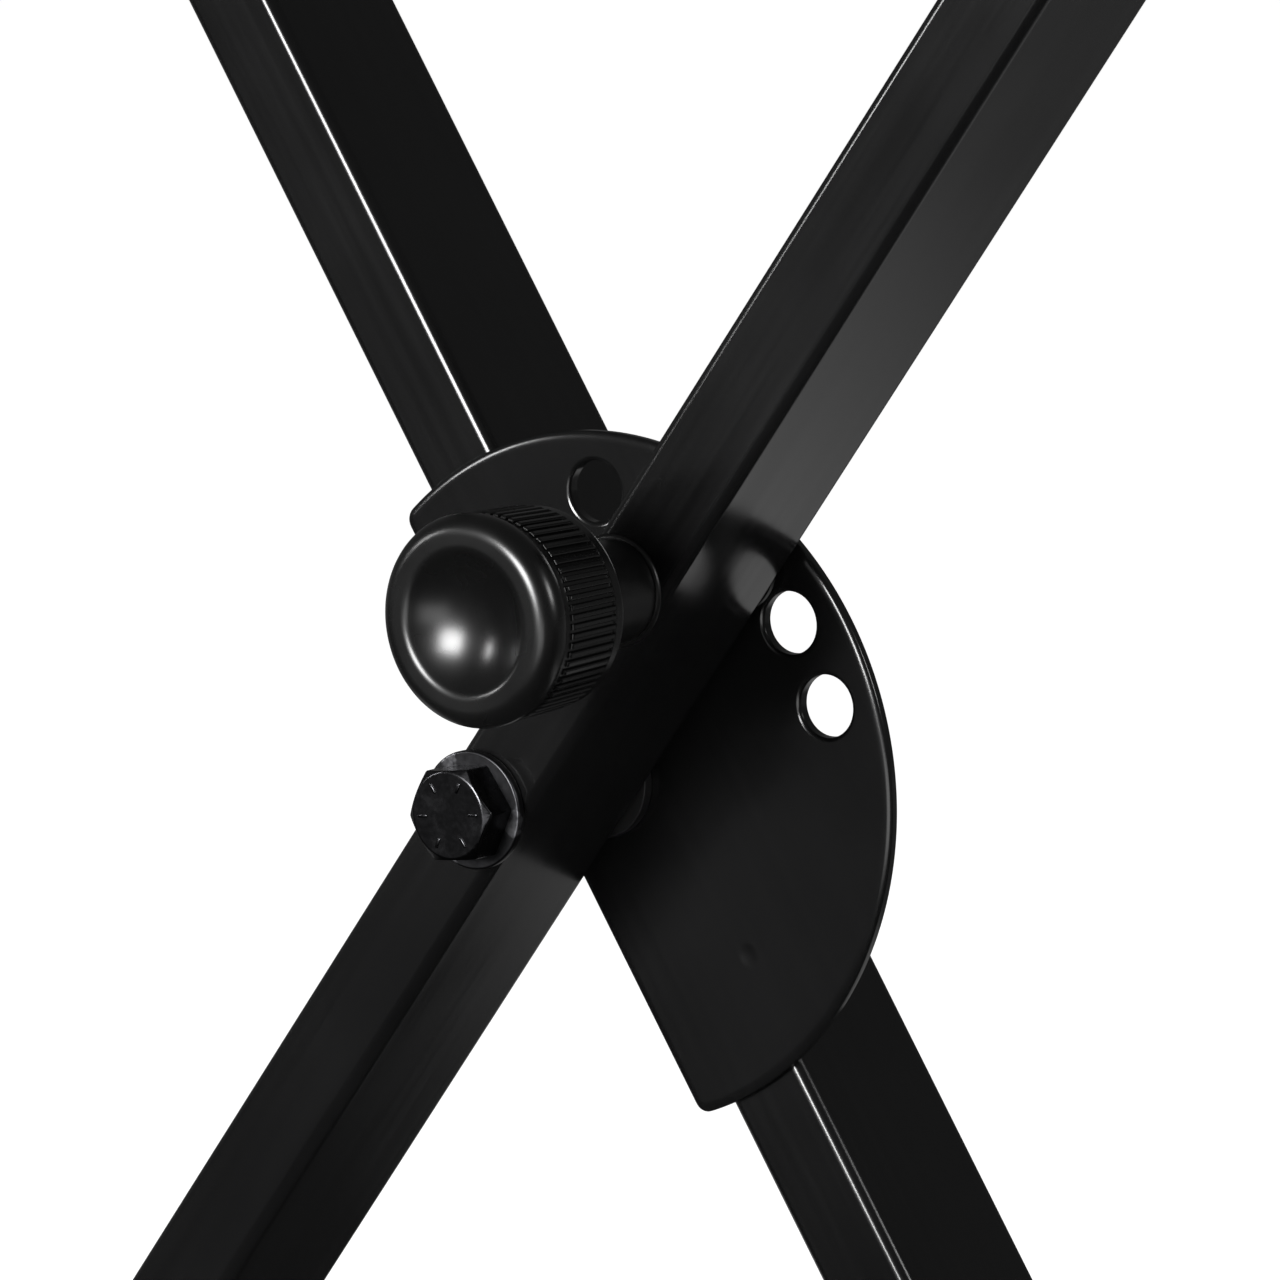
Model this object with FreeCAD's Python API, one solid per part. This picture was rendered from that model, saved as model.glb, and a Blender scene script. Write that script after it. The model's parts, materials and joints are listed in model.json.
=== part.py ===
import FreeCAD, Part

import math
import os

# Folding keyboard stand with a single X of rectangular steel tube.
# Millimetres, +Z up, origin on the floor under the pivot.
# X runs across the X of the legs and Y from the player's side to the back: the front leg leans to +X at its
# top, the rear leg to -X. Y = 0 is the front face of the lock plate, half way through the crossed tubes.

# ---------------------------------------------------------------- legs
LEG_WIDTH = 20.0            # tube across the leg, seen from the front
LEG_DEPTH = 40.0            # tube along Y
LEG_CORNER = 2.5
LEG_WALL = 1.5
LEG_REACH = 480.0           # pivot to the axis of a base bar or support arm
HALF_ANGLE = 34.5           # lean of each leg from the vertical, in degrees

# ---------------------------------------------------------------- lock plate
PLATE_THICKNESS = 2.5
PLATE_RADIUS = 70.8         # round edge, about the pivot
PLATE_CHORD = 16.4          # straight edge, from the rear leg's centre line
PLATE_CORNER = 3.0
PLATE_EDGE = 0.7            # rounding of the plate's rim
HOLE_CIRCLE = 58.5          # radius of the ring of lock holes
HOLE_DIAMETER = 12.7
HOLE_CHAMFER = 0.5
HOLE_PITCH = 18.0           # degrees from hole to hole
HOLES_CLOSER = 2            # holes for higher settings, beside the one in use
HOLES_WIDER = 2             # holes for lower settings

# ---------------------------------------------------------------- pivot
LEG_GAP = 2.5               # front leg to lock plate
RUNNING_GAP = 0.05          # faces that turn or slide on each other, and shafts in their bores, per side
PIVOT_DIAMETER = 12.0
PIVOT_SLEEVE_DIAMETER = 16.0
PIVOT_WASHER_DIAMETER = 24.0
PIVOT_WASHER_THICKNESS = 2.0
PIVOT_WASHER_BORE = 13.0
PIVOT_WASHER_EDGE = 0.4
PIVOT_HEX = 18.0            # across flats, head and nut
PIVOT_HEAD_HEIGHT = 7.5
PIVOT_HEAD_TURN = 8.0       # degrees that the head's corner stands above the horizontal
PIVOT_NUT_HEIGHT = 12.0
PIVOT_NUT_COLLAR = 3.0      # round collar of the lock nut that holds the nylon ring
PIVOT_THREAD_END = 3.0      # thread that shows behind the nut
PIVOT_THREAD_CHAMFER = 1.2
HEX_CHAMFER_ANGLE = 30.0
PLATE_PIVOT_CLEARANCE = 0.2  # around the bolt in the plate and the rear sleeve

# ---------------------------------------------------------------- plunger
PIN_DIAMETER = 8.0
PIN_NOSE_GAP = 0.4          # the nose stands this far off the lock plate
PIN_NOSE_CHAMFER = 1.2
PIN_COLLAR_DIAMETER = 12.4
PIN_COLLAR_THICKNESS = 2.5
PIN_TRAVEL = 10.0           # how far the knob pulls out
GUIDE_DIAMETER = 14.0       # bush that guides the pin through the front leg
GUIDE_FLANGE_DIAMETER = 19.0
GUIDE_FLANGE_THICKNESS = 1.0
GUIDE_STANDOUT = 1.0        # bush end inside the housing, which stops the collar
SEAT_WASHER_DIAMETER = 15.0
SEAT_WASHER_THICKNESS = 1.0
HOUSING_DIAMETER = 20.8
HOUSING_BORE = 17.0
HOUSING_LENGTH = 30.0
HOUSING_CAP = 3.0           # closed end of the housing
HOUSING_EDGE = 1.0
SPRING_WIRE = 1.4
SPRING_WIRE_SIDES = 8       # the wire is drawn with this many flat sides
SPRING_RADIUS = 5.8         # to the middle of the wire
SPRING_TURNS = 5
SPRING_GAP = 0.1            # spring ends to what they press on

# ---------------------------------------------------------------- pull knob
KNOB_BACK = 22.8            # rear edge of the skirt, from the front leg's face
KNOB_LENGTH = 26.2
KNOB_RIM_RADIUS = 21.0      # widest circle of the round lip
KNOB_LIP = 3.4              # the lip's rounding
KNOB_LIP_WIDTH = 6.2        # lip, from its widest circle to the edge of the dish
DISH_EDGE = 1.3             # rounding of the dish's edge
DISH_DEPTH = 5.6
KNOB_NECK_RADIUS = 19.9     # shallow groove behind the lip
KNOB_NECK_WIDTH = 1.3
KNURL_COUNT = 68
KNURL_DEPTH = 0.7
KNURL_LENGTH = 15.2
KNURL_FRONT_RADIUS = 20.7   # over the ridges, beside the lip
KNURL_BACK_RADIUS = 20.2
SKIRT_RADIUS = 19.9         # plain band behind the ridges
SKIRT_EDGE = 1.6
KNOB_RECESS_DIAMETER = 24.4  # hollow back that goes over the housing
KNOB_RECESS_GAP = 1.0       # recess floor to housing end
INSERT_DIAMETER = 11.0
INSERT_LENGTH = 9.0
PIN_SHORT_OF_DISH = 0.8     # rod's end below the insert's front end

# ---------------------------------------------------------------- base bars and support arms
BAR_SIDE = 30.0             # square tube
BAR_WALL = 1.5
BAR_CORNER = 2.5
BASE_SPAN = 430.0           # over the boots
ARM_SPAN = 350.0
SADDLE_THICKNESS = 4.0
SADDLE_CORNER = 6.0
SADDLE_MARGIN = 15.0        # bolt to the saddle's end
BOLT_SPACING = 90.0
BOLT_DIAMETER = 8.0
BOLT_HEX = 13.0
BOLT_HEAD_HEIGHT = 5.3
BOLT_LENGTH = 16.0
BOLT_HOLE = 8.6
BOLT_WASHER_DIAMETER = 16.0
BOLT_WASHER_THICKNESS = 1.6
WELD_NUT_HEX = 14.0
WELD_NUT_HEIGHT = 6.5

# ---------------------------------------------------------------- rubber boots
TREAD_RADIUS = 24.0         # bar axis to the flats that stand on the floor
TREAD_ROUND = 0.25          # the boot's round stands this far outside its flats
BOOT_LENGTH = 62.0
BOOT_END_WALL = 8.0
BOOT_END_ROUND = 5.0
BOOT_MOUTH_CHAMFER = 1.5
RIB_COUNT = 3               # broad ribs that carry the flats
RIB_WIDTH = 13.0
RIB_HEIGHT = 1.4
RIB_PITCH = 16.0
RIB_FROM_END = 8.0          # boot's closed end to its first rib

# ---------------------------------------------------------------- what follows from the sizes above
ORIGIN = FreeCAD.Vector(0, 0, 0)
AXIS_X = FreeCAD.Vector(1, 0, 0)
AXIS_Y = FreeCAD.Vector(0, 1, 0)
AXIS_Z = FreeCAD.Vector(0, 0, 1)

PIVOT_HEIGHT = LEG_REACH * math.cos(math.radians(HALF_ANGLE)) + TREAD_RADIUS
FRONT_LEG_REAR = -LEG_GAP
FRONT_LEG_FACE = -LEG_GAP - LEG_DEPTH
REAR_LEG_FRONT = PLATE_THICKNESS
REAR_LEG_BACK = PLATE_THICKNESS + LEG_DEPTH
FRONT_LEG_Y = (FRONT_LEG_REAR + FRONT_LEG_FACE) / 2
REAR_LEG_Y = (REAR_LEG_FRONT + REAR_LEG_BACK) / 2
LEG_LENGTH = 2 * (LEG_REACH - BAR_SIDE / 2 - SADDLE_THICKNESS)
SADDLE_LENGTH = BOLT_SPACING + 2 * SADDLE_MARGIN

# Under a load the pin bears on the side of its hole, so the front leg leans a little past the hole's centre.
PIN_PLAY = (HOLE_DIAMETER - PIN_DIAMETER) / 2
BEARING_ANGLE = math.degrees(PIN_PLAY / HOLE_CIRCLE)
USED_HOLE_ANGLE = 90 - 2 * HALF_ANGLE + BEARING_ANGLE     # from +X, on the upright rear leg

KNOB_FRONT = KNOB_BACK + KNOB_LENGTH
DISH_RADIUS = KNOB_RIM_RADIUS - KNOB_LIP_WIDTH
RECESS_FLOOR = HOUSING_LENGTH + KNOB_RECESS_GAP
PIN_END = RECESS_FLOOR + INSERT_LENGTH - PIN_SHORT_OF_DISH
COLLAR_BACK = GUIDE_STANDOUT + RUNNING_GAP
COLLAR_FRONT = COLLAR_BACK + PIN_COLLAR_THICKNESS
SEAT_BACK = COLLAR_FRONT + RUNNING_GAP
SEAT_FRONT = SEAT_BACK + SEAT_WASHER_THICKNESS
SPRING_BACK = SEAT_FRONT + SPRING_GAP
SPRING_FRONT = HOUSING_LENGTH - HOUSING_CAP - SPRING_GAP


# ---------------------------------------------------------------- basic shapes
def cylinder(diameter, start, end, x=0.0, y=0.0):
    """A cylinder along Z from start to end."""
    return Part.makeCylinder(diameter / 2, end - start, FreeCAD.Vector(x, y, start), AXIS_Z)


def ring(outer, bore, start, end):
    """A washer, sleeve or bush along Z."""
    overrun = 1.0
    return cylinder(outer, start, end).cut(cylinder(bore, start - overrun, end + overrun))


def rounded_block(size_x, size_y, bottom, top, radius):
    """A block about the Z axis, its four upright edges rounded."""
    corner = FreeCAD.Vector(-size_x / 2, -size_y / 2, bottom)
    block = Part.makeBox(size_x, size_y, top - bottom, corner)
    uprights = [edge for edge in block.Edges if edge.tangentAt(edge.FirstParameter).cross(AXIS_Z).Length < 1e-6]
    return block.makeFillet(radius, uprights)


def rectangular_tube(size_x, size_y, wall, radius, bottom, top):
    """A tube with rounded corners along Z."""
    overrun = 1.0
    outside = rounded_block(size_x, size_y, bottom, top, radius)
    inside = rounded_block(size_x - 2 * wall, size_y - 2 * wall, bottom - overrun, top + overrun, radius - wall)
    return outside.cut(inside)


def hexagon(across_flats, bottom, top, turn=0.0):
    """A hexagonal prism along Z, its first corner turned from +X."""
    radius = across_flats / math.sqrt(3)
    angles = [math.radians(turn + 60 * corner) for corner in range(7)]
    points = [FreeCAD.Vector(radius * math.cos(a), radius * math.sin(a), bottom) for a in angles]
    face = Part.Face(Part.makePolygon(points))
    return face.extrude(FreeCAD.Vector(0, 0, top - bottom))


def chamfered_hexagon(across_flats, bottom, top, turn=0.0):
    """A hexagon whose far end is turned down to a cone, as on a bolt's head."""
    prism = hexagon(across_flats, bottom, top, turn)
    corner = across_flats / math.sqrt(3)
    flat = across_flats / 2 * 0.96
    drop = (corner - flat) * math.tan(math.radians(HEX_CHAMFER_ANGLE))
    body = Part.makeCylinder(corner, top - drop - bottom, FreeCAD.Vector(0, 0, bottom), AXIS_Z)
    cone = Part.makeCone(corner, flat, drop, FreeCAD.Vector(0, 0, top - drop), AXIS_Z)
    return prism.common(body.fuse(cone))


def revolved(outline):
    """Turns a closed list of edges in the XZ plane about the Z axis."""
    return Part.Face(Part.Wire(outline)).revolve(ORIGIN, AXIS_Z, 360)


def profile_point(radius, height):
    return FreeCAD.Vector(radius, 0, height)


def line(start, end):
    return Part.makeLine(start, end)


def arc(start, middle, end):
    return Part.Arc(start, middle, end).toShape()


def chain(points):
    """Straight edges from point to point."""
    return [line(start, end) for start, end in zip(points, points[1:])]


# ---------------------------------------------------------------- placing
def towards_player(shape, y, z=0.0):
    """Turns a shape made along Z so that it points to -Y, and sets its base at y."""
    placed = shape.copy()
    placed.rotate(ORIGIN, AXIS_X, 90)
    placed.translate(FreeCAD.Vector(0, y, z))
    return placed


def lean(shape, angle):
    """Leans a shape made on an upright leg, and sets it at the pivot's height."""
    placed = shape.copy()
    placed.rotate(ORIGIN, AXIS_Y, angle)
    placed.translate(FreeCAD.Vector(0, 0, PIVOT_HEIGHT))
    return placed


def front_leg_place(shape):
    return lean(shape, HALF_ANGLE)


def rear_leg_place(shape):
    return lean(shape, -HALF_ANGLE)


def turned_over(shape):
    """The same piece at the other end of a leg."""
    placed = shape.copy()
    placed.rotate(ORIGIN, AXIS_Y, 180)
    return placed


# ---------------------------------------------------------------- legs
def leg_tube(middle_y, crossings):
    """An upright leg tube with round holes through it along Y, as (diameter, height) pairs."""
    tube = rectangular_tube(LEG_WIDTH, LEG_DEPTH, LEG_WALL, LEG_CORNER, -LEG_LENGTH / 2, LEG_LENGTH / 2)
    for diameter, height in crossings:
        hole = Part.makeCylinder(diameter / 2, 2 * LEG_DEPTH, FreeCAD.Vector(0, -LEG_DEPTH, height), AXIS_Y)
        tube = tube.cut(hole)
    tube.translate(FreeCAD.Vector(0, middle_y, 0))
    return tube


# ---------------------------------------------------------------- lock plate
def lock_plate():
    """The D-shaped plate on the front of the upright rear leg, its straight edge to the left."""
    half_chord = math.sqrt(PLATE_RADIUS ** 2 - PLATE_CHORD ** 2)
    top = FreeCAD.Vector(-PLATE_CHORD, 0, half_chord)
    bottom = FreeCAD.Vector(-PLATE_CHORD, 0, -half_chord)
    right = FreeCAD.Vector(PLATE_RADIUS, 0, 0)
    outline = Part.Wire([line(bottom, top), arc(top, right, bottom)])
    plate = Part.Face(outline).extrude(FreeCAD.Vector(0, PLATE_THICKNESS, 0))
    corners = [edge for edge in plate.Edges if edge.tangentAt(edge.FirstParameter).cross(AXIS_Y).Length < 1e-6]
    plate = plate.makeFillet(PLATE_CORNER, corners)
    rim = [edge for edge in plate.Edges if edge.BoundBox.YLength < 1e-6]
    plate = plate.makeFillet(PLATE_EDGE, rim)
    overrun = 1.0
    pivot_hole = PIVOT_DIAMETER + 2 * PLATE_PIVOT_CLEARANCE
    plate = plate.cut(towards_player(cylinder(pivot_hole, -PLATE_THICKNESS - overrun, overrun), 0))
    for step in range(-HOLES_WIDER, HOLES_CLOSER + 1):
        plate = plate.cut(lock_hole(math.radians(USED_HOLE_ANGLE + step * HOLE_PITCH)))
    return plate


def lock_hole(angle):
    """One lock hole's cutter, with the chamfer on the plate's front face."""
    overrun = 1.0
    bore = cylinder(HOLE_DIAMETER, -PLATE_THICKNESS - overrun, overrun)
    radius = HOLE_DIAMETER / 2
    mouth = Part.makeCone(radius, radius + HOLE_CHAMFER, HOLE_CHAMFER, FreeCAD.Vector(0, 0, -HOLE_CHAMFER), AXIS_Z)
    cutter = towards_player(bore.fuse(mouth), 0)
    cutter.translate(FreeCAD.Vector(HOLE_CIRCLE * math.cos(angle), 0, HOLE_CIRCLE * math.sin(angle)))
    return cutter


# ---------------------------------------------------------------- pivot
def pivot_sleeve(bore):
    """The steel sleeve welded through a leg, which keeps the bolt from crushing the tube."""
    return ring(PIVOT_SLEEVE_DIAMETER, bore, 0, LEG_DEPTH)


def pivot_bolt():
    """The hex bolt, its shank along Z and the seat of its head at the head washer."""
    seat = LEG_DEPTH + LEG_GAP + RUNNING_GAP + PIVOT_WASHER_THICKNESS
    back = -(REAR_LEG_BACK + PIVOT_WASHER_THICKNESS + PIVOT_NUT_HEIGHT + PIVOT_THREAD_END)
    head = chamfered_hexagon(PIVOT_HEX, seat, seat + PIVOT_HEAD_HEIGHT, PIVOT_HEAD_TURN)
    shank = cylinder(PIVOT_DIAMETER, back + PIVOT_THREAD_CHAMFER, seat)
    radius = PIVOT_DIAMETER / 2
    tip = Part.makeCone(radius - PIVOT_THREAD_CHAMFER, radius, PIVOT_THREAD_CHAMFER,
                        FreeCAD.Vector(0, 0, back), AXIS_Z)
    return head.fuse([shank, tip]).removeSplitter()


def pivot_washer():
    """A flat washer with its outer edges broken."""
    washer = ring(PIVOT_WASHER_DIAMETER, PIVOT_WASHER_BORE, 0, PIVOT_WASHER_THICKNESS)
    rims = [edge for edge in washer.Edges
            if edge.BoundBox.ZLength < 1e-6 and edge.BoundBox.XLength > PIVOT_WASHER_BORE + 1]
    return washer.makeChamfer(PIVOT_WASHER_EDGE, rims)


def lock_nut():
    """The nylon-ring lock nut: a hexagon with a round collar."""
    body = hexagon(PIVOT_HEX, 0, PIVOT_NUT_HEIGHT - PIVOT_NUT_COLLAR, PIVOT_HEAD_TURN)
    collar = cylinder(PIVOT_HEX, 0, PIVOT_NUT_HEIGHT)
    overrun = 1.0
    return body.fuse(collar).cut(cylinder(PIVOT_DIAMETER, -overrun, PIVOT_NUT_HEIGHT + overrun))


# ---------------------------------------------------------------- plunger, along Z from the front leg's face
def plunger_housing():
    """The turned cup that holds the spring, its open end welded to the leg."""
    cup = cylinder(HOUSING_DIAMETER, 0, HOUSING_LENGTH)
    rim = [edge for edge in cup.Edges if edge.BoundBox.ZMin > HOUSING_LENGTH - 1e-6]
    cup = cup.makeFillet(HOUSING_EDGE, rim)
    overrun = 1.0
    cup = cup.cut(cylinder(HOUSING_BORE, -overrun, HOUSING_LENGTH - HOUSING_CAP))
    return cup.cut(cylinder(PIN_DIAMETER + 2 * RUNNING_GAP, 0, HOUSING_LENGTH + overrun))


def plunger_guide():
    """The flanged bush pressed through the leg from behind."""
    barrel = cylinder(GUIDE_DIAMETER, -LEG_DEPTH, GUIDE_STANDOUT)
    flange = cylinder(GUIDE_FLANGE_DIAMETER, -LEG_DEPTH - GUIDE_FLANGE_THICKNESS, -LEG_DEPTH)
    bore = cylinder(PIN_DIAMETER + 2 * RUNNING_GAP, -2 * LEG_DEPTH, LEG_DEPTH)
    return barrel.fuse(flange).cut(bore)


def plunger_pin():
    """Nose, collar and rod in one turned pin."""
    nose = -LEG_DEPTH - LEG_GAP + PIN_NOSE_GAP
    radius = PIN_DIAMETER / 2
    tip = Part.makeCone(radius - PIN_NOSE_CHAMFER, radius, PIN_NOSE_CHAMFER, FreeCAD.Vector(0, 0, nose), AXIS_Z)
    rod = cylinder(PIN_DIAMETER, nose + PIN_NOSE_CHAMFER, PIN_END)
    collar = cylinder(PIN_COLLAR_DIAMETER, COLLAR_BACK, COLLAR_FRONT)
    return rod.fuse([tip, collar]).removeSplitter()


def seat_washer():
    return ring(SEAT_WASHER_DIAMETER, PIN_DIAMETER + 4 * RUNNING_GAP, SEAT_BACK, SEAT_FRONT)


def helix_point(turn, start, rise):
    """A point of the spring's centre line and its unit tangent, after so many turns."""
    angle = 2 * math.pi * turn
    point = FreeCAD.Vector(SPRING_RADIUS * math.cos(angle), SPRING_RADIUS * math.sin(angle), start + rise * turn)
    tangent = FreeCAD.Vector(-math.sin(angle), math.cos(angle), rise / (2 * math.pi * SPRING_RADIUS))
    return point, tangent.normalize()


def tangent_arc(start, end, corner):
    """The arc from start to end whose end tangents meet at corner."""
    middle = (start + end) * 0.5
    half = (end - start).Length / 2
    drop = (corner - middle).Length
    reach = (corner - start).Length
    radius = reach * half / drop
    centre_distance = math.sqrt(radius ** 2 + reach ** 2)
    crown = corner + (middle - corner) * ((centre_distance - radius) / drop)
    return arc(start, crown, end)


def biarc(start, start_tangent, end, end_tangent):
    """Two arcs that leave start and reach end along the given tangents."""
    span = end - start
    both = start_tangent + end_tangent
    a = 2 * start_tangent.dot(end_tangent) - 2
    b = -2 * span.dot(both)
    c = span.dot(span)
    reach = (-b - math.sqrt(b * b - 4 * a * c)) / (2 * a)
    first = start + start_tangent * reach
    second = end - end_tangent * reach
    joint = (first + second) * 0.5
    return [tangent_arc(start, joint, first), tangent_arc(joint, end, second)]


def plunger_spring():
    """The coil spring: one tube along biarcs of a quarter turn."""
    start = SPRING_BACK + SPRING_WIRE / 2
    end = SPRING_FRONT - SPRING_WIRE / 2
    rise = (end - start) / SPRING_TURNS
    quarters = [helix_point(step / 4, start, rise) for step in range(4 * SPRING_TURNS + 1)]
    edges = []
    for (here, tangent), (there, next_tangent) in zip(quarters, quarters[1:]):
        edges += biarc(here, tangent, there, next_tangent)
    path = Part.Wire(edges)
    first_point, first_tangent = quarters[0]
    section = wire_section(first_point, first_tangent)
    print("spring: least gap between turns %.2f mm" % (spring_self_distance(edges, rise) - SPRING_WIRE))
    return path.makePipeShell([section], True, False)


def wire_section(centre, direction):
    """The spring wire's section, square to the direction."""
    outward = FreeCAD.Vector(centre.x, centre.y, 0).normalize()
    across = direction.cross(outward)
    angles = [2 * math.pi * side / SPRING_WIRE_SIDES for side in range(SPRING_WIRE_SIDES + 1)]
    radius = SPRING_WIRE / 2
    return Part.makePolygon([centre + outward * (radius * math.cos(a)) + across * (radius * math.sin(a))
                             for a in angles])


def spring_self_distance(edges, rise):
    """The least distance between points of the centre line that lie more than half a turn apart."""
    points = [point for edge in edges for point in edge.discretize(4)[:-1]]
    points_in_half_turn = len(points) / SPRING_TURNS / 2
    least = rise
    for i, point in enumerate(points):
        for other in points[i + int(points_in_half_turn) + 1:]:
            least = min(least, point.distanceToPoint(other))
    return least


# ---------------------------------------------------------------- pull knob
def knob_body():
    """The knob's turned form: skirt, neck, round lip, dish and hollow back."""
    half = math.sqrt(0.5)
    recess = KNOB_RECESS_DIAMETER / 2
    insert = INSERT_DIAMETER / 2
    dish_centre = KNOB_FRONT - DISH_DEPTH
    knurl_front = KNOB_BACK + SKIRT_EDGE * 2 + KNURL_LENGTH
    neck_front = knurl_front + KNOB_NECK_WIDTH
    lip_middle = KNOB_FRONT - KNOB_LIP

    skirt_corner = profile_point(SKIRT_RADIUS - SKIRT_EDGE, KNOB_BACK)
    skirt_round = profile_point(SKIRT_RADIUS - SKIRT_EDGE * (1 - half), KNOB_BACK + SKIRT_EDGE * (1 - half))
    skirt_top = profile_point(SKIRT_RADIUS, KNOB_BACK + SKIRT_EDGE)
    neck_start = profile_point(KNOB_NECK_RADIUS, knurl_front)
    neck_end = profile_point(KNOB_NECK_RADIUS, neck_front)
    lip_side = profile_point(KNOB_RIM_RADIUS, lip_middle)
    lip_back_middle = profile_point((KNOB_NECK_RADIUS + KNOB_RIM_RADIUS) / 2 + 0.2, (neck_front + lip_middle) / 2 - 0.3)
    lip_shoulder = profile_point(KNOB_RIM_RADIUS - KNOB_LIP * (1 - half), lip_middle + KNOB_LIP * half)
    lip_front = profile_point(KNOB_RIM_RADIUS - KNOB_LIP, KNOB_FRONT)
    dish_rim = profile_point(DISH_RADIUS, KNOB_FRONT - DISH_EDGE)
    dish_rim_middle = profile_point(DISH_RADIUS + DISH_EDGE * (1 - half), KNOB_FRONT - DISH_EDGE * (1 - half))
    dish_top = profile_point(DISH_RADIUS + DISH_EDGE, KNOB_FRONT)
    dish_bottom = profile_point(0, dish_centre)
    dish_drop = DISH_DEPTH - DISH_EDGE
    dish_curve = (DISH_RADIUS ** 2 + dish_drop ** 2) / (2 * dish_drop)
    mid_radius = DISH_RADIUS / 2
    dish_middle = profile_point(mid_radius, dish_centre + dish_curve - math.sqrt(dish_curve ** 2 - mid_radius ** 2))

    edges = chain([profile_point(recess, KNOB_BACK), skirt_corner])
    edges.append(arc(skirt_corner, skirt_round, skirt_top))
    edges += chain([skirt_top, neck_start, neck_end])
    edges.append(arc(neck_end, lip_back_middle, lip_side))
    edges.append(arc(lip_side, lip_shoulder, lip_front))
    edges += chain([lip_front, dish_top])
    edges.append(arc(dish_top, dish_rim_middle, dish_rim))
    edges.append(arc(dish_rim, dish_middle, dish_bottom))
    edges += chain([dish_bottom, profile_point(0, RECESS_FLOOR + INSERT_LENGTH),
                    profile_point(insert, RECESS_FLOOR + INSERT_LENGTH), profile_point(insert, RECESS_FLOOR),
                    profile_point(recess, RECESS_FLOOR), profile_point(recess, KNOB_BACK)])
    return revolved(edges)


def knurl_wire(ridge_radius, height):
    """A ring of straight-sided ridges: one ridge and one valley to each step."""
    points = []
    for step in range(2 * KNURL_COUNT):
        radius = ridge_radius if step % 2 == 0 else ridge_radius - KNURL_DEPTH
        angle = math.pi * step / KNURL_COUNT
        points.append(FreeCAD.Vector(radius * math.cos(angle), radius * math.sin(angle), height))
    return Part.makePolygon(points + points[:1])


def pull_knob():
    """The moulded knob with its ring of ridges."""
    start = KNOB_BACK + SKIRT_EDGE * 2
    ridges = Part.makeLoft([knurl_wire(KNURL_BACK_RADIUS, start),
                            knurl_wire(KNURL_FRONT_RADIUS, start + KNURL_LENGTH)], True, True)
    sleeve = ridges.cut(cylinder(2 * DISH_RADIUS, 0, 2 * KNOB_FRONT))
    return knob_body().fuse(sleeve)


def knob_insert():
    """The threaded brass insert moulded into the knob."""
    return ring(INSERT_DIAMETER, PIN_DIAMETER, RECESS_FLOOR, RECESS_FLOOR + INSERT_LENGTH)


# ---------------------------------------------------------------- bars, arms and their fastenings
def saddle():
    """The plate welded on a leg's lower end, about the leg's own axis."""
    top = -(LEG_REACH - BAR_SIDE / 2 - SADDLE_THICKNESS)
    plate = rounded_block(BAR_SIDE, SADDLE_LENGTH, top - SADDLE_THICKNESS, top, SADDLE_CORNER)
    for y in bolt_places():
        plate = plate.cut(cylinder(BOLT_HOLE, top - 2 * SADDLE_THICKNESS, top + SADDLE_THICKNESS, 0, y))
    return plate


def bolt_places():
    return (-BOLT_SPACING / 2, BOLT_SPACING / 2)


def square_bar(span, leg_y):
    """A base bar or arm below the pivot, between its boots' end walls, holed for its bolts."""
    length = span - 2 * BOOT_END_WALL
    bar = rectangular_tube(BAR_SIDE, BAR_SIDE, BAR_WALL, BAR_CORNER, -length / 2, length / 2)
    bar.rotate(ORIGIN, AXIS_X, 90)
    bar.translate(FreeCAD.Vector(0, 0, -LEG_REACH))
    for y in bolt_places():
        bar = bar.cut(cylinder(BOLT_HOLE, -LEG_REACH, -LEG_REACH + BAR_SIDE, 0, leg_y + y))
    return bar


def saddle_bolt():
    """A hex bolt with its washer's seat on the saddle, pointing down."""
    seat = -(LEG_REACH - BAR_SIDE / 2 - SADDLE_THICKNESS) + BOLT_WASHER_THICKNESS
    head = chamfered_hexagon(BOLT_HEX, seat, seat + BOLT_HEAD_HEIGHT)
    return head.fuse(cylinder(BOLT_DIAMETER, seat - BOLT_LENGTH, seat)).removeSplitter()


def saddle_washer():
    bottom = -(LEG_REACH - BAR_SIDE / 2 - SADDLE_THICKNESS)
    return ring(BOLT_WASHER_DIAMETER, BOLT_HOLE, bottom, bottom + BOLT_WASHER_THICKNESS)


def weld_nut():
    """A hex nut welded to the inside of the bar's wall."""
    top = -(LEG_REACH - BAR_SIDE / 2 + BAR_WALL)
    nut = hexagon(WELD_NUT_HEX, top - WELD_NUT_HEIGHT, top)
    return nut.cut(cylinder(BOLT_DIAMETER, top - 2 * WELD_NUT_HEIGHT, top + WELD_NUT_HEIGHT))


def bolted_set(piece, leg_y):
    """Four copies of a fastening: two below the pivot and two above."""
    copies = []
    for y in bolt_places():
        low = piece.copy()
        low.translate(FreeCAD.Vector(0, leg_y + y, 0))
        copies += [low, turned_over(low)]
    return Part.makeCompound(copies)


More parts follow.
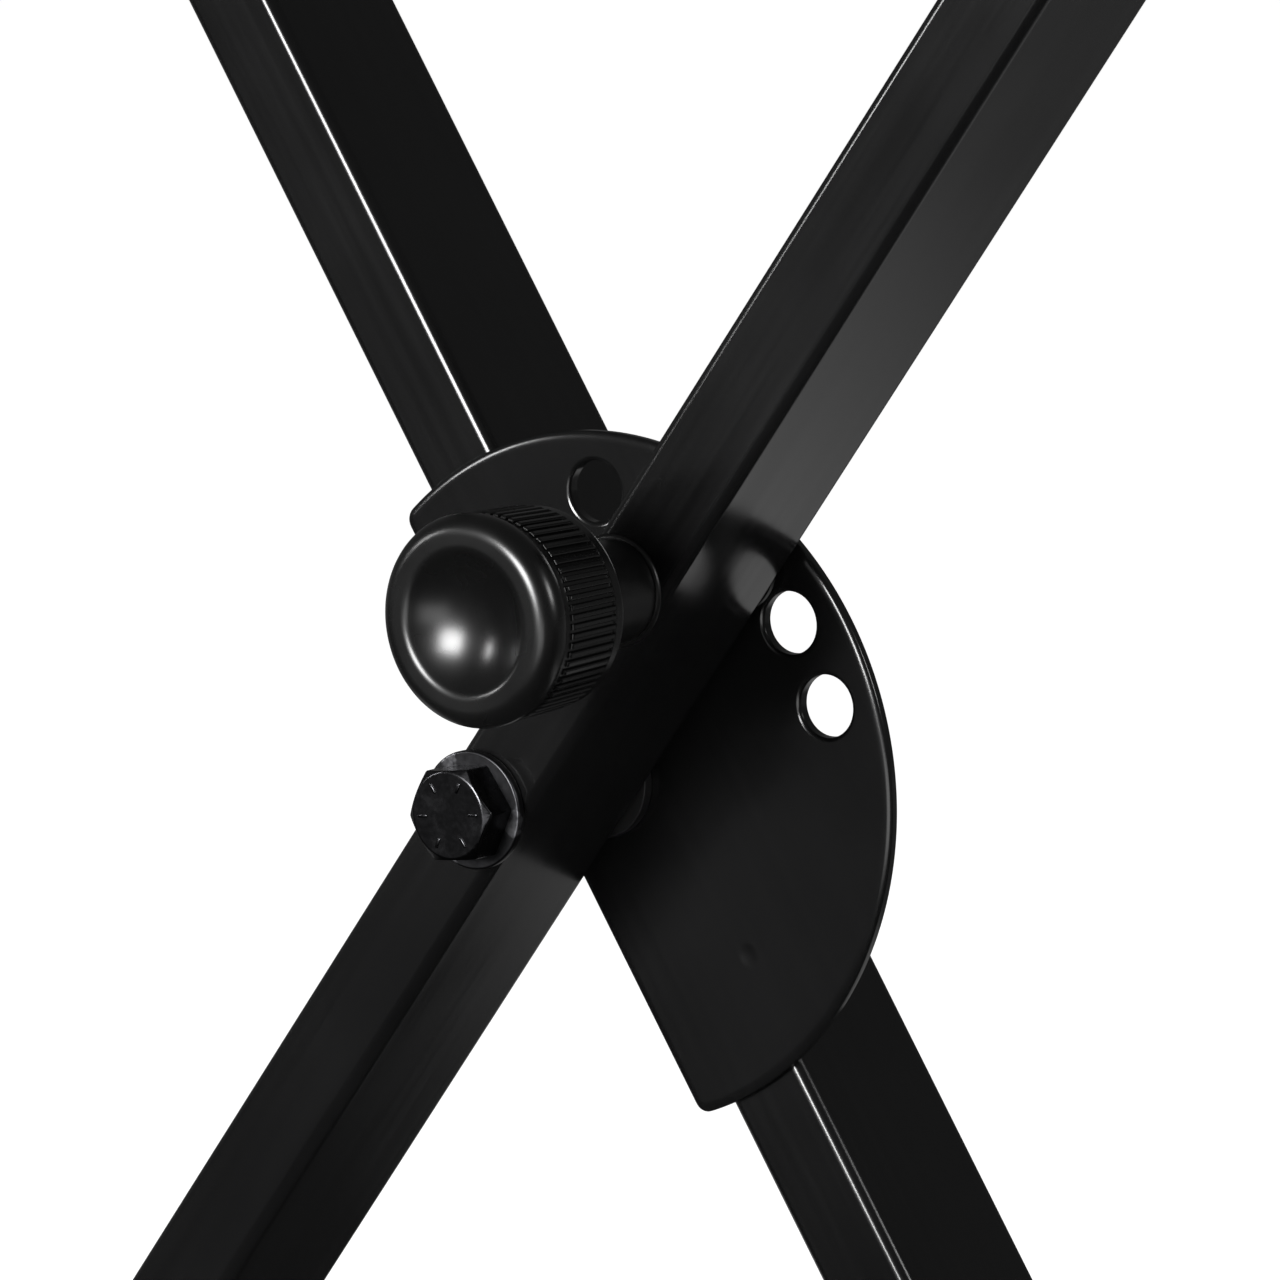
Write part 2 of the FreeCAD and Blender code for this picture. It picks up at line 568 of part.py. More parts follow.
def end_boot():
    """A ribbed rubber boot along Z, its closed end at 0 and its mouth at BOOT_LENGTH."""
    rib_radius = TREAD_RADIUS + TREAD_ROUND
    radius = rib_radius - RIB_HEIGHT
    half = math.sqrt(0.5)
    end_corner = profile_point(radius - BOOT_END_ROUND, 0)
    end_round = profile_point(radius - BOOT_END_ROUND * (1 - half), BOOT_END_ROUND * (1 - half))
    points = [profile_point(radius, BOOT_END_ROUND)]
    for step in range(RIB_COUNT):
        start = RIB_FROM_END + step * RIB_PITCH
        points += [profile_point(radius, start), profile_point(rib_radius, start),
                   profile_point(rib_radius, start + RIB_WIDTH), profile_point(radius, start + RIB_WIDTH)]
    points += [profile_point(radius, BOOT_LENGTH - BOOT_MOUTH_CHAMFER),
               profile_point(radius - BOOT_MOUTH_CHAMFER, BOOT_LENGTH), profile_point(0, BOOT_LENGTH),
               profile_point(0, 0)]
    edges = [line(profile_point(0, 0), end_corner), arc(end_corner, end_round, points[0])] + chain(points)
    boot = revolved(edges)
    boot = boot.cut(rounded_block(BAR_SIDE, BAR_SIDE, BOOT_END_WALL, 2 * BOOT_LENGTH, BAR_CORNER))
    for angle in tread_angles():
        boot = boot.cut(tread_cutter(angle))
    return boot


def tread_angles():
    """How far each lock setting leans the leg, and with it the floor under its boots, from the leg's axis."""
    return [HALF_ANGLE - step * HOLE_PITCH / 2 for step in range(-HOLES_WIDER, HOLES_CLOSER + 1)]


def tread_cutter(angle):
    """What a flat takes off the boot's round side, for a floor towards -Y turned by the angle."""
    size = 2 * TREAD_RADIUS
    corner = FreeCAD.Vector(-size / 2, -TREAD_RADIUS - size, -BOOT_LENGTH / 2)
    block = Part.makeBox(size, size, 2 * BOOT_LENGTH, corner)
    block.rotate(ORIGIN, AXIS_Z, angle)
    return block


def boot_pair(span, side):
    """The two boots of a bar below the pivot, their flats towards +X for a side of 1, or -X for -1."""
    far = end_boot()
    if side < 0:
        far = far.mirror(ORIGIN, AXIS_X)
    far.rotate(ORIGIN, AXIS_X, 90)
    far.translate(FreeCAD.Vector(0, span / 2, -LEG_REACH))
    near = far.mirror(ORIGIN, AXIS_Y)
    return Part.makeCompound([near, far])


def rested_on_axis(shape, y):
    """Moves a shape made about the leg's own axis to the leg's place along Y."""
    placed = shape.copy()
    placed.translate(FreeCAD.Vector(0, y, 0))
    return placed


# ---------------------------------------------------------------- the two leg frames
def leg_frame(name, leg_y, place, floor_side):
    """What both legs carry: saddles, bars, boots and fastenings. Its foot's inner side is floor_side."""
    low_saddle = rested_on_axis(saddle(), leg_y)
    return {
        name + "_foot_saddle": place(low_saddle),
        name + "_arm_saddle": place(turned_over(low_saddle)),
        name + "_base_bar": place(square_bar(BASE_SPAN, leg_y)),
        name + "_support_arm": place(turned_over(square_bar(ARM_SPAN, leg_y))),
        name + "_base_boots": place(boot_pair(BASE_SPAN, floor_side)),
        name + "_arm_boots": place(turned_over(boot_pair(ARM_SPAN, floor_side))),
        name + "_saddle_bolts": place(bolted_set(saddle_bolt(), leg_y)),
        name + "_saddle_washers": place(bolted_set(saddle_washer(), leg_y)),
        name + "_weld_nuts": place(bolted_set(weld_nut(), leg_y)),
    }


def rear_nodes():
    """The rear leg with its lock plate, and the pivot bolt that it carries."""
    nodes = leg_frame("rear", REAR_LEG_Y, rear_leg_place, -1)
    clearance_bore = PIVOT_DIAMETER + 2 * PLATE_PIVOT_CLEARANCE
    spacer = ring(PIVOT_WASHER_DIAMETER, PIVOT_WASHER_BORE, RUNNING_GAP, LEG_GAP - RUNNING_GAP)
    head_washer_back = LEG_GAP + LEG_DEPTH + RUNNING_GAP
    nodes["rear_leg_tube"] = rear_leg_place(leg_tube(REAR_LEG_Y, [(PIVOT_SLEEVE_DIAMETER, 0)]))
    nodes["lock_plate"] = rear_leg_place(lock_plate())
    nodes["rear_pivot_sleeve"] = rear_leg_place(towards_player(pivot_sleeve(clearance_bore), REAR_LEG_BACK))
    nodes["pivot_bolt"] = lean(towards_player(pivot_bolt(), 0), 0)
    nodes["pivot_head_washer"] = lean(towards_player(pivot_washer(), -head_washer_back), 0)
    nodes["pivot_spacer"] = lean(towards_player(spacer, 0), 0)
    rear_washer_back = REAR_LEG_BACK + PIVOT_WASHER_THICKNESS
    nodes["pivot_rear_washer"] = lean(towards_player(pivot_washer(), rear_washer_back), 0)
    nut = lock_nut()
    nut.rotate(ORIGIN, AXIS_X, -90)
    nut.translate(FreeCAD.Vector(0, rear_washer_back, 0))
    nodes["pivot_lock_nut"] = lean(nut, 0)
    return nodes


def front_nodes():
    """The front leg with its plunger lock."""
    def on_face(shape):
        return front_leg_place(towards_player(shape, FRONT_LEG_FACE, HOLE_CIRCLE))

    nodes = leg_frame("front", FRONT_LEG_Y, front_leg_place, 1)
    crossings = [(PIVOT_SLEEVE_DIAMETER, 0), (GUIDE_DIAMETER, HOLE_CIRCLE)]
    turning_bore = PIVOT_DIAMETER + 2 * RUNNING_GAP
    nodes["front_leg_tube"] = front_leg_place(leg_tube(FRONT_LEG_Y, crossings))
    nodes["front_pivot_sleeve"] = front_leg_place(towards_player(pivot_sleeve(turning_bore), FRONT_LEG_REAR))
    nodes["plunger_housing"] = on_face(plunger_housing())
    nodes["plunger_guide"] = on_face(plunger_guide())
    nodes["plunger_pin"] = on_face(plunger_pin())
    nodes["plunger_seat_washer"] = on_face(seat_washer())
    nodes["plunger_spring"] = on_face(plunger_spring())
    nodes["pull_knob"] = on_face(pull_knob())
    nodes["knob_insert"] = on_face(knob_insert())
    return nodes


def main():
    os.makedirs("parts", exist_ok=True)
    nodes = {**rear_nodes(), **front_nodes()}
    for name, shape in nodes.items():
        shape.exportStep("parts/" + name + ".step")
        state = "closed" if shape.isValid() and all(solid.isClosed() for solid in shape.Solids) else "NOT CLOSED"
        print("%-22s %d solid(s), %9.1f mm3, %s" % (name, len(shape.Solids), shape.Volume, state))


main()
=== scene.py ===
"""Looks of the folding keyboard stand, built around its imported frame.

The frame holds every size and joint. This add-on models the visible surfaces of each piece in metres, in
the frame's own place, and gives every piece its finish. It is run as a script.
"""
import json
import math

import bmesh
import bpy
from mathutils import Matrix, Vector


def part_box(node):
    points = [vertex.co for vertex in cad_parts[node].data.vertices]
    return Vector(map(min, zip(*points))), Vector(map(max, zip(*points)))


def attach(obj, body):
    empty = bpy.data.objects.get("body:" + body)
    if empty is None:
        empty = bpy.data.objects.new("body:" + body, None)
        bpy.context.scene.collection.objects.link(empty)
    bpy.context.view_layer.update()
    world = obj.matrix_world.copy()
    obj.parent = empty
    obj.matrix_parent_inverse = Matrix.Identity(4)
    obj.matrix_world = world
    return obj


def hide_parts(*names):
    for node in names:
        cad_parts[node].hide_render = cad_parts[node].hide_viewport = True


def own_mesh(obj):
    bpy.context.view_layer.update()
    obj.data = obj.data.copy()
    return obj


bl_info = {
    "name": "Folding keyboard stand",
    "version": (1, 0, 0),
    "blender": (4, 5, 0),
    "location": "View3D > Sidebar > Stand",
    "description": "Models and finishes the pieces of a single-X keyboard stand around its frame",
    "category": "Add Mesh",
}

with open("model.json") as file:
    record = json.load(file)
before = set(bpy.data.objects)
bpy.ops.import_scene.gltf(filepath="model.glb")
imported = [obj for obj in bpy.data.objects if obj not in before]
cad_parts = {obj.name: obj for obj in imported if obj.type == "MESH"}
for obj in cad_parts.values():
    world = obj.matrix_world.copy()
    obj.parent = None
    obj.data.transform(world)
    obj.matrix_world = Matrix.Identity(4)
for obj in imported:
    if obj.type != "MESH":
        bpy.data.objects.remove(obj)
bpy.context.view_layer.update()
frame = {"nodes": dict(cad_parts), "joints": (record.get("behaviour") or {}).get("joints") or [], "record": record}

MM = 0.001
TINY = 1e-6
FULL_TURN = 2 * math.pi
QUARTER = math.pi / 2
AXIS_Z = Vector((0, 0, 1))

# small sizes that no user would change
FLAT_SHARE = 0.96
RIM_ROUND = 0.25 * MM
MARK_INNER, MARK_OUTER = 5.2 * MM, 7.4 * MM
MARK_HALF_WIDTH = 0.3 * MM
MARK_SINK, MARK_RISE, MARK_ROUND = 0.2 * MM, 0.25 * MM, 0.15 * MM
RIDGE_GAP = 0.3 * MM
SADDLE_END = 15.0 * MM
SADDLE_EDGE = 0.5 * MM
WELD_SINK, WELD_CORNER = 0.2 * MM, 3 * MM
WELD_LUMP, WELD_LUMPINESS = 2.2 * MM, 0.7 * MM
BOLT_TIP = 0.8 * MM
SADDLE_WASHER_EDGE = 0.3 * MM

# ------------------------------------------------------------------ places taken from the frame
JOINTS = {joint["name"]: joint for joint in frame["joints"]}
PIVOT = Vector(JOINTS["fold"]["pos_m"])
PIN = Vector(JOINTS["knob_turn"]["pos_m"])
LEAN = math.atan2(PIN.x - PIVOT.x, PIN.z - PIVOT.z)
WELD_DENT = PIVOT + Vector((36.7, 0, -31.4)) * MM
SIDES = {"front": 1, "rear": -1}
BODIES = {"front": "front_frame", "rear": "rear_frame"}


def leg_place(side):
    """Leans what is made on an upright leg about the pivot, as that leg leans."""
    return Matrix.Translation(PIVOT) @ Matrix.Rotation(SIDES[side] * LEAN, 4, "Y")


def ahead(x, y, z):
    """Points a shape made along Z at the player, with its base at the given point."""
    return Matrix.Translation((x, y, z)) @ Matrix.Rotation(QUARTER, 4, "X")


def box_in(node, place):
    """A CAD node's lowest and highest corners before the place leaned it."""
    back = place.inverted()
    corners = [back @ vertex.co for vertex in frame["nodes"][node].data.vertices]
    low = Vector([min(corner[axis] for corner in corners) for axis in range(3)])
    high = Vector([max(corner[axis] for corner in corners) for axis in range(3)])
    return low, high


# ------------------------------------------------------------------ settings
def length(name, description, millimetres):
    return bpy.props.FloatProperty(
        name=name, description=description, default=millimetres * MM, unit="LENGTH")


def count(name, description, number):
    return bpy.props.IntProperty(name=name, description=description, default=number, min=1)


def angle(name, description, degrees):
    return bpy.props.FloatProperty(
        name=name, description=description, default=math.radians(degrees), unit="ROTATION")


def share(name, description, number):
    return bpy.props.FloatProperty(name=name, description=description, default=number, min=0.0)


def colour(name, description, level):
    return bpy.props.FloatVectorProperty(
        name=name, description=description, default=level, size=3, min=0.0, max=1.0, subtype="COLOR")


class LegSettings(bpy.types.PropertyGroup):
    corner: length("Corner", "Outer corner radius of the leg tube", 2.5)
    wall: length("Wall", "Wall of the leg tube", 1.5)
    corner_steps: count("Corner steps", "Facets in each rounded corner", 12)
    guide_hole: length("Guide hole", "Hole in the front tube for the plunger's guide", 14.0)


class PlateSettings(bpy.types.PropertyGroup):
    radius: length("Radius", "Round edge of the lock plate, about the pivot", 70.8)
    chord: length("Chord", "Straight edge of the lock plate, from the rear leg's centre line", 16.4)
    corner: length("Corner", "Rounding of the two corners of the D", 3.0)
    roll: length("Roll", "Width of the punched rim's round", 2.2)
    roll_depth: length("Roll depth", "Drop of the punched rim's round", 0.9)
    back_edge: length("Back edge", "Rounding of the rim's back", 0.4)
    hole_circle: length("Hole circle", "Radius of the ring of lock holes", 58.5)
    hole_diameter: length("Hole diameter", "Diameter of a lock hole", 12.7)
    mouth: length("Mouth", "Width of the round at a lock hole's mouth", 1.2)
    mouth_depth: length("Mouth depth", "Drop of the round at a lock hole's mouth", 0.7)
    hole_pitch: angle("Hole pitch", "Angle from lock hole to lock hole", 18.0)
    holes: count("Holes", "Number of lock holes", 5)
    bearing_angle: angle(
        "Bearing angle", "How far the pin's side of its hole stands off the hole's middle", 2.302)
    pivot_hole: length("Pivot hole", "Diameter of the plate's hole round the pivot bolt", 12.4)


class PivotSettings(bpy.types.PropertyGroup):
    across_flats: length("Across flats", "Hexagon of the pivot bolt and nut", 18.0)
    corner_turn: angle("Corner turn", "How far the head's corner stands above the horizontal", 8.0)
    head_height: length("Head height", "Height of the bolt's head", 7.5)
    hex_edge: length("Hexagon edge", "Rounding of the hexagon's upright edges", 0.35)
    chamfer: angle("Chamfer", "Slope of the cone that tops a hexagon", 30.0)
    shank: length("Shank", "Diameter of the bolt", 12.0)
    thread_pitch: length("Thread pitch", "From thread to thread", 1.75)
    thread_depth: length("Thread depth", "Depth of the thread", 1.0)
    washer_edge: length("Washer edge", "Rounding of a washer's rim", 0.5)
    washer_bore: length("Washer bore", "Bore of the pivot washers", 13.0)
    collar: length("Collar", "Round collar of the lock nut, round its nylon ring", 3.0)
    mark_count: count("Marks", "Raised ticks on the bolt's head", 6)


class HousingSettings(bpy.types.PropertyGroup):
    edge: length("Edge", "Rounding of the housing's end", 1.0)
    bore: length("Bore", "Inside diameter of the housing", 17.0)
    cap: length("Cap", "Thickness of the housing's closed end", 3.0)
    rod_bore: length("Rod bore", "Hole in the cap for the plunger's rod", 8.1)
    bead: length("Weld", "Size of the weld that holds the housing", 0.9)
    spring_wire: length("Spring wire", "Diameter of the spring's wire", 1.4)
    spring_turns: count("Spring turns", "Turns of the spring", 5)


class KnobSettings(bpy.types.PropertyGroup):
    back: length("Back", "Leg face to the skirt's rear edge", 22.8)
    length: length("Length", "Skirt's rear edge to the front of the lip", 26.2)
    rim: length("Rim", "Largest radius of the round lip", 21.0)
    lip: length("Lip", "Rounding of the lip", 4.0)
    lip_width: length("Lip width", "Lip from its widest circle to where it turns down to the dish", 5.6)
    dish_edge: length("Dish edge", "Rounding of the dish's edge", 3.0)
    dish_depth: length("Dish depth", "Depth of the dish", 5.2)
    neck: length("Neck", "Radius of the shallow groove behind the lip", 19.9)
    neck_width: length("Neck width", "Length of the groove behind the lip", 1.3)
    ridges: count("Ridges", "Number of grip ridges", 68)
    ridge_depth: length("Ridge depth", "Height of a grip ridge", 0.7)
    ridge_shoulder: length("Ridge shoulder", "Width of the round at a ridge's sides and ends", 0.46)
    ridge_length: length("Ridge length", "Length of a grip ridge", 15.2)
    ridge_front: length("Ridge front", "Radius over the ridges beside the lip", 20.7)
    ridge_back: length("Ridge back", "Radius over the ridges beside the skirt's band", 20.2)
    skirt: length("Skirt", "Radius of the plain band behind the ridges", 19.9)
    skirt_edge: length("Skirt edge", "Rounding of the skirt's rear edge", 1.6)
    recess: length("Recess", "Diameter of the hollow back", 24.4)
    recess_floor: length("Recess floor", "Leg face to the floor of the hollow back", 31.0)
    insert: length("Insert", "Diameter of the brass insert", 11.0)
    insert_length: length("Insert length", "Length of the brass insert", 9.0)


class BarSettings(bpy.types.PropertyGroup):
    reach: length("Reach", "Pivot to the axis of a bar", 480.0)
    side: length("Side", "Side of the square bars", 30.0)
    wall: length("Wall", "Wall of the square bars", 1.5)
    corner: length("Corner", "Outer corner radius of the bars", 2.5)
    base_span: length("Base span", "Length over the boots of a base bar", 430.0)
    arm_span: length("Arm span", "Length over the boots of a support arm", 350.0)
    saddle: length("Saddle", "Thickness of the welded saddle plates", 4.0)
    saddle_corner: length("Saddle corner", "Corner radius of the saddle plates", 6.0)
    bolt_spacing: length("Bolt spacing", "Distance between a saddle's bolts", 90.0)
    bolt_shank: length("Bolt shank", "Diameter of the saddle bolts", 8.0)
    bolt_hole: length("Bolt hole", "Diameter of the saddle's holes", 8.6)
    bolt_hex: length("Bolt hexagon", "Hexagon of the saddle bolts", 13.0)
    bolt_head: length("Bolt head", "Height of the saddle bolts' heads", 5.3)
    bolt_length: length("Bolt length", "Length of the saddle bolts under the head", 16.0)
    washer: length("Washer", "Diameter of the saddle washers", 16.0)
    washer_thickness: length("Washer thickness", "Thickness of the saddle washers", 1.6)
    weld: length("Weld", "Leg length of the fillet welds", 3.0)


class BootSettings(bpy.types.PropertyGroup):
    tread: length("Tread", "Bar axis to the flats that stand on the floor", 24.0)
    tread_round: length("Tread round", "How far the ribs' round stands outside the flats", 0.25)
    length: length("Length", "Length of a boot", 62.0)
    end_wall: length("End wall", "Thickness of a boot's closed end", 8.0)
    end_round: length("End round", "Rounding of a boot's closed end", 5.0)
    mouth: length("Mouth", "Chamfer of a boot's mouth", 1.5)
    ribs: count("Ribs", "Broad ribs of a boot", 3)
    rib_width: length("Rib width", "Width of a rib", 13.0)
    rib_height: length("Rib height", "Height of a rib", 1.4)
    rib_pitch: length("Rib pitch", "From rib to rib", 16.0)
    rib_start: length("Rib start", "Closed end to the first rib", 8.0)
    rib_edge: length("Rib edge", "Rounding of a rib's edges", 0.4)


class FinishSettings(bpy.types.PropertyGroup):
    leg_paint: colour("Leg paint", "Satin powder coat of the tubes", (0.0022, 0.0022, 0.00225))
    plate_paint: colour("Plate paint", "Glossier coat of the lock plate", (0.0022, 0.0022, 0.00225))
    black_zinc: colour("Black zinc", "Plating of bolts, nuts and washers", (0.035, 0.035, 0.037))
    bright_zinc: colour("Bright zinc", "Plating of the hidden steel pieces", (0.55, 0.55, 0.53))
    spring_steel: colour("Spring steel", "Oiled spring wire", (0.35, 0.35, 0.36))
    brass: colour("Brass", "Knob insert", (0.62, 0.45, 0.19))
    plastic: colour("Plastic", "Moulded knob", (0.0018, 0.0018, 0.0018))
    nylon: colour("Nylon", "Bush and spacer", (0.004, 0.004, 0.0041))
    rubber: colour("Rubber", "Boots", (0.012, 0.012, 0.0122))


class ViewSettings(bpy.types.PropertyGroup):
    turn: angle("Turn", "Camera to the right of straight ahead", 36.366)
    rise: angle("Rise", "Camera above the horizontal", 10.387)
    roll: angle("Roll", "Camera's roll about its own line of sight", 1.138)
    distance: length("Distance", "Camera to the plane of the pivot", 1998.5)
    shift_right: length("Pivot right", "Pivot to the right of the line of sight", -7.149)
    shift_down: length("Pivot down", "Pivot below the line of sight", 27.936)
    lens: share("Lens", "Focal length in millimetres on a 36 mm sensor", 277.47)
    floor_white: share("Floor", "Paleness of the floor", 0.9)


SETTINGS = {
    "stand_legs": LegSettings,
    "stand_plate": PlateSettings,
    "stand_pivot": PivotSettings,
    "stand_housing": HousingSettings,
    "stand_knob": KnobSettings,
    "stand_bars": BarSettings,
    "stand_boots": BootSettings,
    "stand_finish": FinishSettings,
    "stand_view": ViewSettings,
}


# ------------------------------------------------------------------ shader sums
class Wire:
    """An output socket that takes part in sums as a number does."""

    def __init__(self, finish, socket):
        self.finish = finish
        self.socket = socket

    def sum(self, operation, first, second):
        return self.finish.add("ShaderNodeMath", {0: first, 1: second}, operation=operation)

    def __add__(self, other):
        return self.sum("ADD", self, other)

    def __radd__(self, other):
        return self.sum("ADD", other, self)

    def __sub__(self, other):
        return self.sum("SUBTRACT", self, other)

    def __rsub__(self, other):
        return self.sum("SUBTRACT", other, self)

    def __mul__(self, other):
        return self.sum("MULTIPLY", self, other)

    def __rmul__(self, other):
        return self.sum("MULTIPLY", other, self)


class Finish:
    """A material in the making: a Principled shader and what feeds it."""

    def __init__(self, name, **constants):
        self.material = bpy.data.materials.new(name)
        self.material.use_nodes = True
        self.tree = self.material.node_tree
        self.shader = self.tree.nodes["Principled BSDF"]
        for socket, value in constants.items():
            self.feed(self.shader.inputs[socket.replace("_", " ").title().replace("Ior", "IOR")], value)

    def feed(self, socket, value):
        if isinstance(value, Wire):
            self.tree.links.new(value.socket, socket)
        elif hasattr(value, "__len__") and len(value) == 3 and len(socket.default_value) == 4:
            socket.default_value = (*value, 1.0)
        else:
            socket.default_value = value

    def add(self, kind, inputs=None, output=0, **settings):
        """Adds a node, sets it up, feeds its sockets and returns one of its outputs."""
        node = self.tree.nodes.new(kind)
        for setting, value in settings.items():
            setattr(node, setting, value)
        for socket, value in (inputs or {}).items():
            self.feed(node.inputs[socket], value)
        return Wire(self, node.outputs[output])

    def drive(self, socket, value):
        """Feeds one of the shader's own sockets."""
        self.feed(self.shader.inputs[socket], value)

    def object_place(self, turn_y=0.0, stretch=(1, 1, 1)):
        """Places on the object, turned about Y and stretched for a pattern."""
        place = self.add("ShaderNodeTexCoord", output="Object")
        if turn_y:
            place = self.add("ShaderNodeMapping", {"Vector": place, "Rotation": (0, turn_y, 0)})
        if stretch != (1, 1, 1):
            place = self.add("ShaderNodeMapping", {"Vector": place, "Scale": stretch})
        return place

    def facing(self):
        """1 in front of the object and a little to the right, less to either side and below 0 behind it."""
        line = self.add("ShaderNodeVectorMath", {0: self.object_place()}, operation="NORMALIZE")
        return self.add("ShaderNodeVectorMath", {0: line, 1: (0.208, -0.978, 0.0)}, output=1,
                        operation="DOT_PRODUCT")

    def noise(self, place, scale, detail=2.0, roughness=0.5):
        """A cloudy pattern about 0.5, its scale in lumps to the metre."""
        inputs = {"Vector": place, "Scale": scale, "Detail": detail, "Roughness": roughness}
        return self.add("ShaderNodeTexNoise", inputs)

    def ramp(self, value, low, high, way="LINEAR"):
        """0 below low, 1 above high and even between."""
        inputs = {"Value": value, "From Min": low, "From Max": high}
        return self.add("ShaderNodeMapRange", inputs, interpolation_type=way)

    def blend(self, factor, first, second):
        """A colour between two."""
        inputs = {0: factor, 6: first, 7: second}
        return self.add("ShaderNodeMix", inputs, output=2, data_type="RGBA")

    def bump(self, height, strength, distance, under=None):
        inputs = {"Height": height, "Strength": strength, "Distance": distance}
        if under:
            inputs["Normal"] = under
        return self.add("ShaderNodeBump", inputs)


def lighter(rgb, by):
    return tuple(min(1.0, level * by) for level in rgb)


def coat(name, rgb, roughness, turn_y, peel, drawn_out=0.10, dent=None):
    """Powder coat: orange peel, a fine grain, streaks along the rolled tube, and a weld's dent."""
    finish = Finish(name, ior=1.46)
    place = finish.object_place()
    along = finish.object_place(turn_y, (1, 1, 0.03))
    clouds = finish.noise(place, 22.0)
    streaks = finish.noise(along, 420.0, 3.0)
    grain = finish.noise(place, 3200.0, 2.0)
    skin = finish.noise(place, 620.0, 1.0)
    tone = finish.ramp(streaks * 0.5 + clouds * 0.5, 0.35, 0.65)
    finish.drive("Base Color", finish.blend(tone, lighter(rgb, 0.8), lighter(rgb, 1.3)))
    finish.drive("Roughness", roughness + (clouds - 0.5) * 0.12 + (streaks - 0.5) * drawn_out)
    fine = finish.bump(grain, 0.10, 0.02 * MM, finish.bump(streaks, drawn_out, 0.05 * MM))
    if dent:
        away = finish.add("ShaderNodeVectorMath", {0: place, 1: dent}, output=1, operation="DISTANCE")
        hollow = finish.ramp(away + clouds * 1.5 * MM, 1.2 * MM, 3.6 * MM, "SMOOTHSTEP")
        fine = finish.bump(hollow, 1.0, 0.16 * MM, fine)
    finish.drive("Normal", finish.bump(skin, peel, 0.05 * MM, fine))
    return finish.material


def plating(name, rgb, roughness, lumps, worn=1.0):
    """Zinc plating: a metal that is faintly mottled and rubbed, and in patches worn brighter."""
    finish = Finish(name, metallic=1.0)
    place = finish.object_place()
    mottle = finish.noise(place, 900.0, 3.0)
    rubbed = finish.ramp(finish.noise(place, 260.0, 4.0, 0.6), 0.45, 0.75)
    colour_here = finish.blend(mottle, lighter(rgb, 0.7), lighter(rgb, 1.4))
    if worn > 1.0:
        patches = finish.ramp(finish.noise(place, 150.0, 3.0, 0.6), 0.54, 0.60, "SMOOTHSTEP")
        colour_here = finish.blend(patches * mottle * 1.6, colour_here, lighter(rgb, worn))
    finish.drive("Base Color", colour_here)
    finish.drive("Roughness", roughness + (mottle - 0.5) * 0.08 + rubbed * 0.12)
    finish.drive("Normal", finish.bump(mottle, lumps, 0.03 * MM))
    return finish.material


def moulded(name, rgb, roughness, ior, texture_scale, texture_strength):
    """Moulded plastic or rubber, with the mould's fine texture."""
    finish = Finish(name, ior=ior)
    place = finish.object_place()
    clouds = finish.noise(place, 60.0, 3.0)
    texture = finish.noise(place, texture_scale, 2.0)
    finish.drive("Base Color", finish.blend(clouds, lighter(rgb, 0.85), lighter(rgb, 1.2)))
    finish.drive("Roughness", roughness + (clouds - 0.5) * 0.14)
    finish.drive("Normal", finish.bump(texture, texture_strength, 0.04 * MM))
    return finish.material


FINISHES = {}


def make_finishes(colours):
    """One material for each finish of the stand, kept by its slot's name."""
    FINISHES["front_leg_paint"] = coat("front_leg_paint", colours.leg_paint, 0.19, -LEAN, 0.10)
    FINISHES["rear_leg_paint"] = coat("rear_leg_paint", colours.leg_paint, 0.19, LEAN, 0.10)
    FINISHES["leg_paint"] = coat("leg_paint", colours.leg_paint, 0.21, 0.0, 0.12)
    FINISHES["housing_paint"] = coat("housing_paint", colours.leg_paint, 0.34, -LEAN, 0.15)
    FINISHES["plate_paint"] = coat("plate_paint", colours.plate_paint, 0.18, LEAN, 0.08, 0.03, WELD_DENT)
    FINISHES["black_zinc"] = plating("black_zinc", colours.black_zinc, 0.22, 0.15)
    FINISHES["rubbed_zinc"] = plating("rubbed_zinc", colours.black_zinc, 0.34, 0.5, 5.0)
    FINISHES["bright_zinc"] = plating("bright_zinc", colours.bright_zinc, 0.28, 0.15)
    FINISHES["spring_steel"] = plating("spring_steel", colours.spring_steel, 0.25, 0.10)
    FINISHES["brass"] = plating("brass", colours.brass, 0.25, 0.10)
    FINISHES["knob_plastic"] = moulded("knob_plastic", colours.plastic, 0.27, 1.45, 2600.0, 0.06)
    FINISHES["nylon"] = moulded("nylon", colours.nylon, 0.42, 1.5, 1500.0, 0.08)
    FINISHES["boot_rubber"] = moulded("boot_rubber", colours.rubber, 0.62, 1.5, 1100.0, 0.35)


# ------------------------------------------------------------------ modelling by hand
def object_mode():
    if bpy.context.mode != "OBJECT":
        bpy.ops.object.mode_set(mode="OBJECT")
    bpy.ops.object.select_all(action="DESELECT")


def take(piece):
    """Makes one piece the active and only selected one."""
    object_mode()
    piece.select_set(True)
    bpy.context.view_layer.objects.active = piece


def named(name):
    piece = bpy.context.object
    piece.name = name
    piece.data.name = name
    return piece


def block(name, low, high):
    """A box between two corners."""
    object_mode()
    low, high = Vector(low), Vector(high)
    bpy.ops.mesh.primitive_cube_add(size=1, location=(low + high) / 2)
    piece = named(name)
    piece.scale = high - low
    bpy.ops.object.transform_apply(location=True, rotation=True, scale=True)
    return piece


def drum(name, radius, low, high, sides, turn=0.0):
    """A prism or a cylinder about Z, its first corner turned from +X."""
    object_mode()
    bpy.ops.mesh.primitive_cylinder_add(
        vertices=sides, radius=radius, depth=high - low, location=(0, 0, (low + high) / 2),
        rotation=(0, 0, turn - QUARTER))
    piece = named(name)
    bpy.ops.object.transform_apply(location=True, rotation=True, scale=True)
    return piece


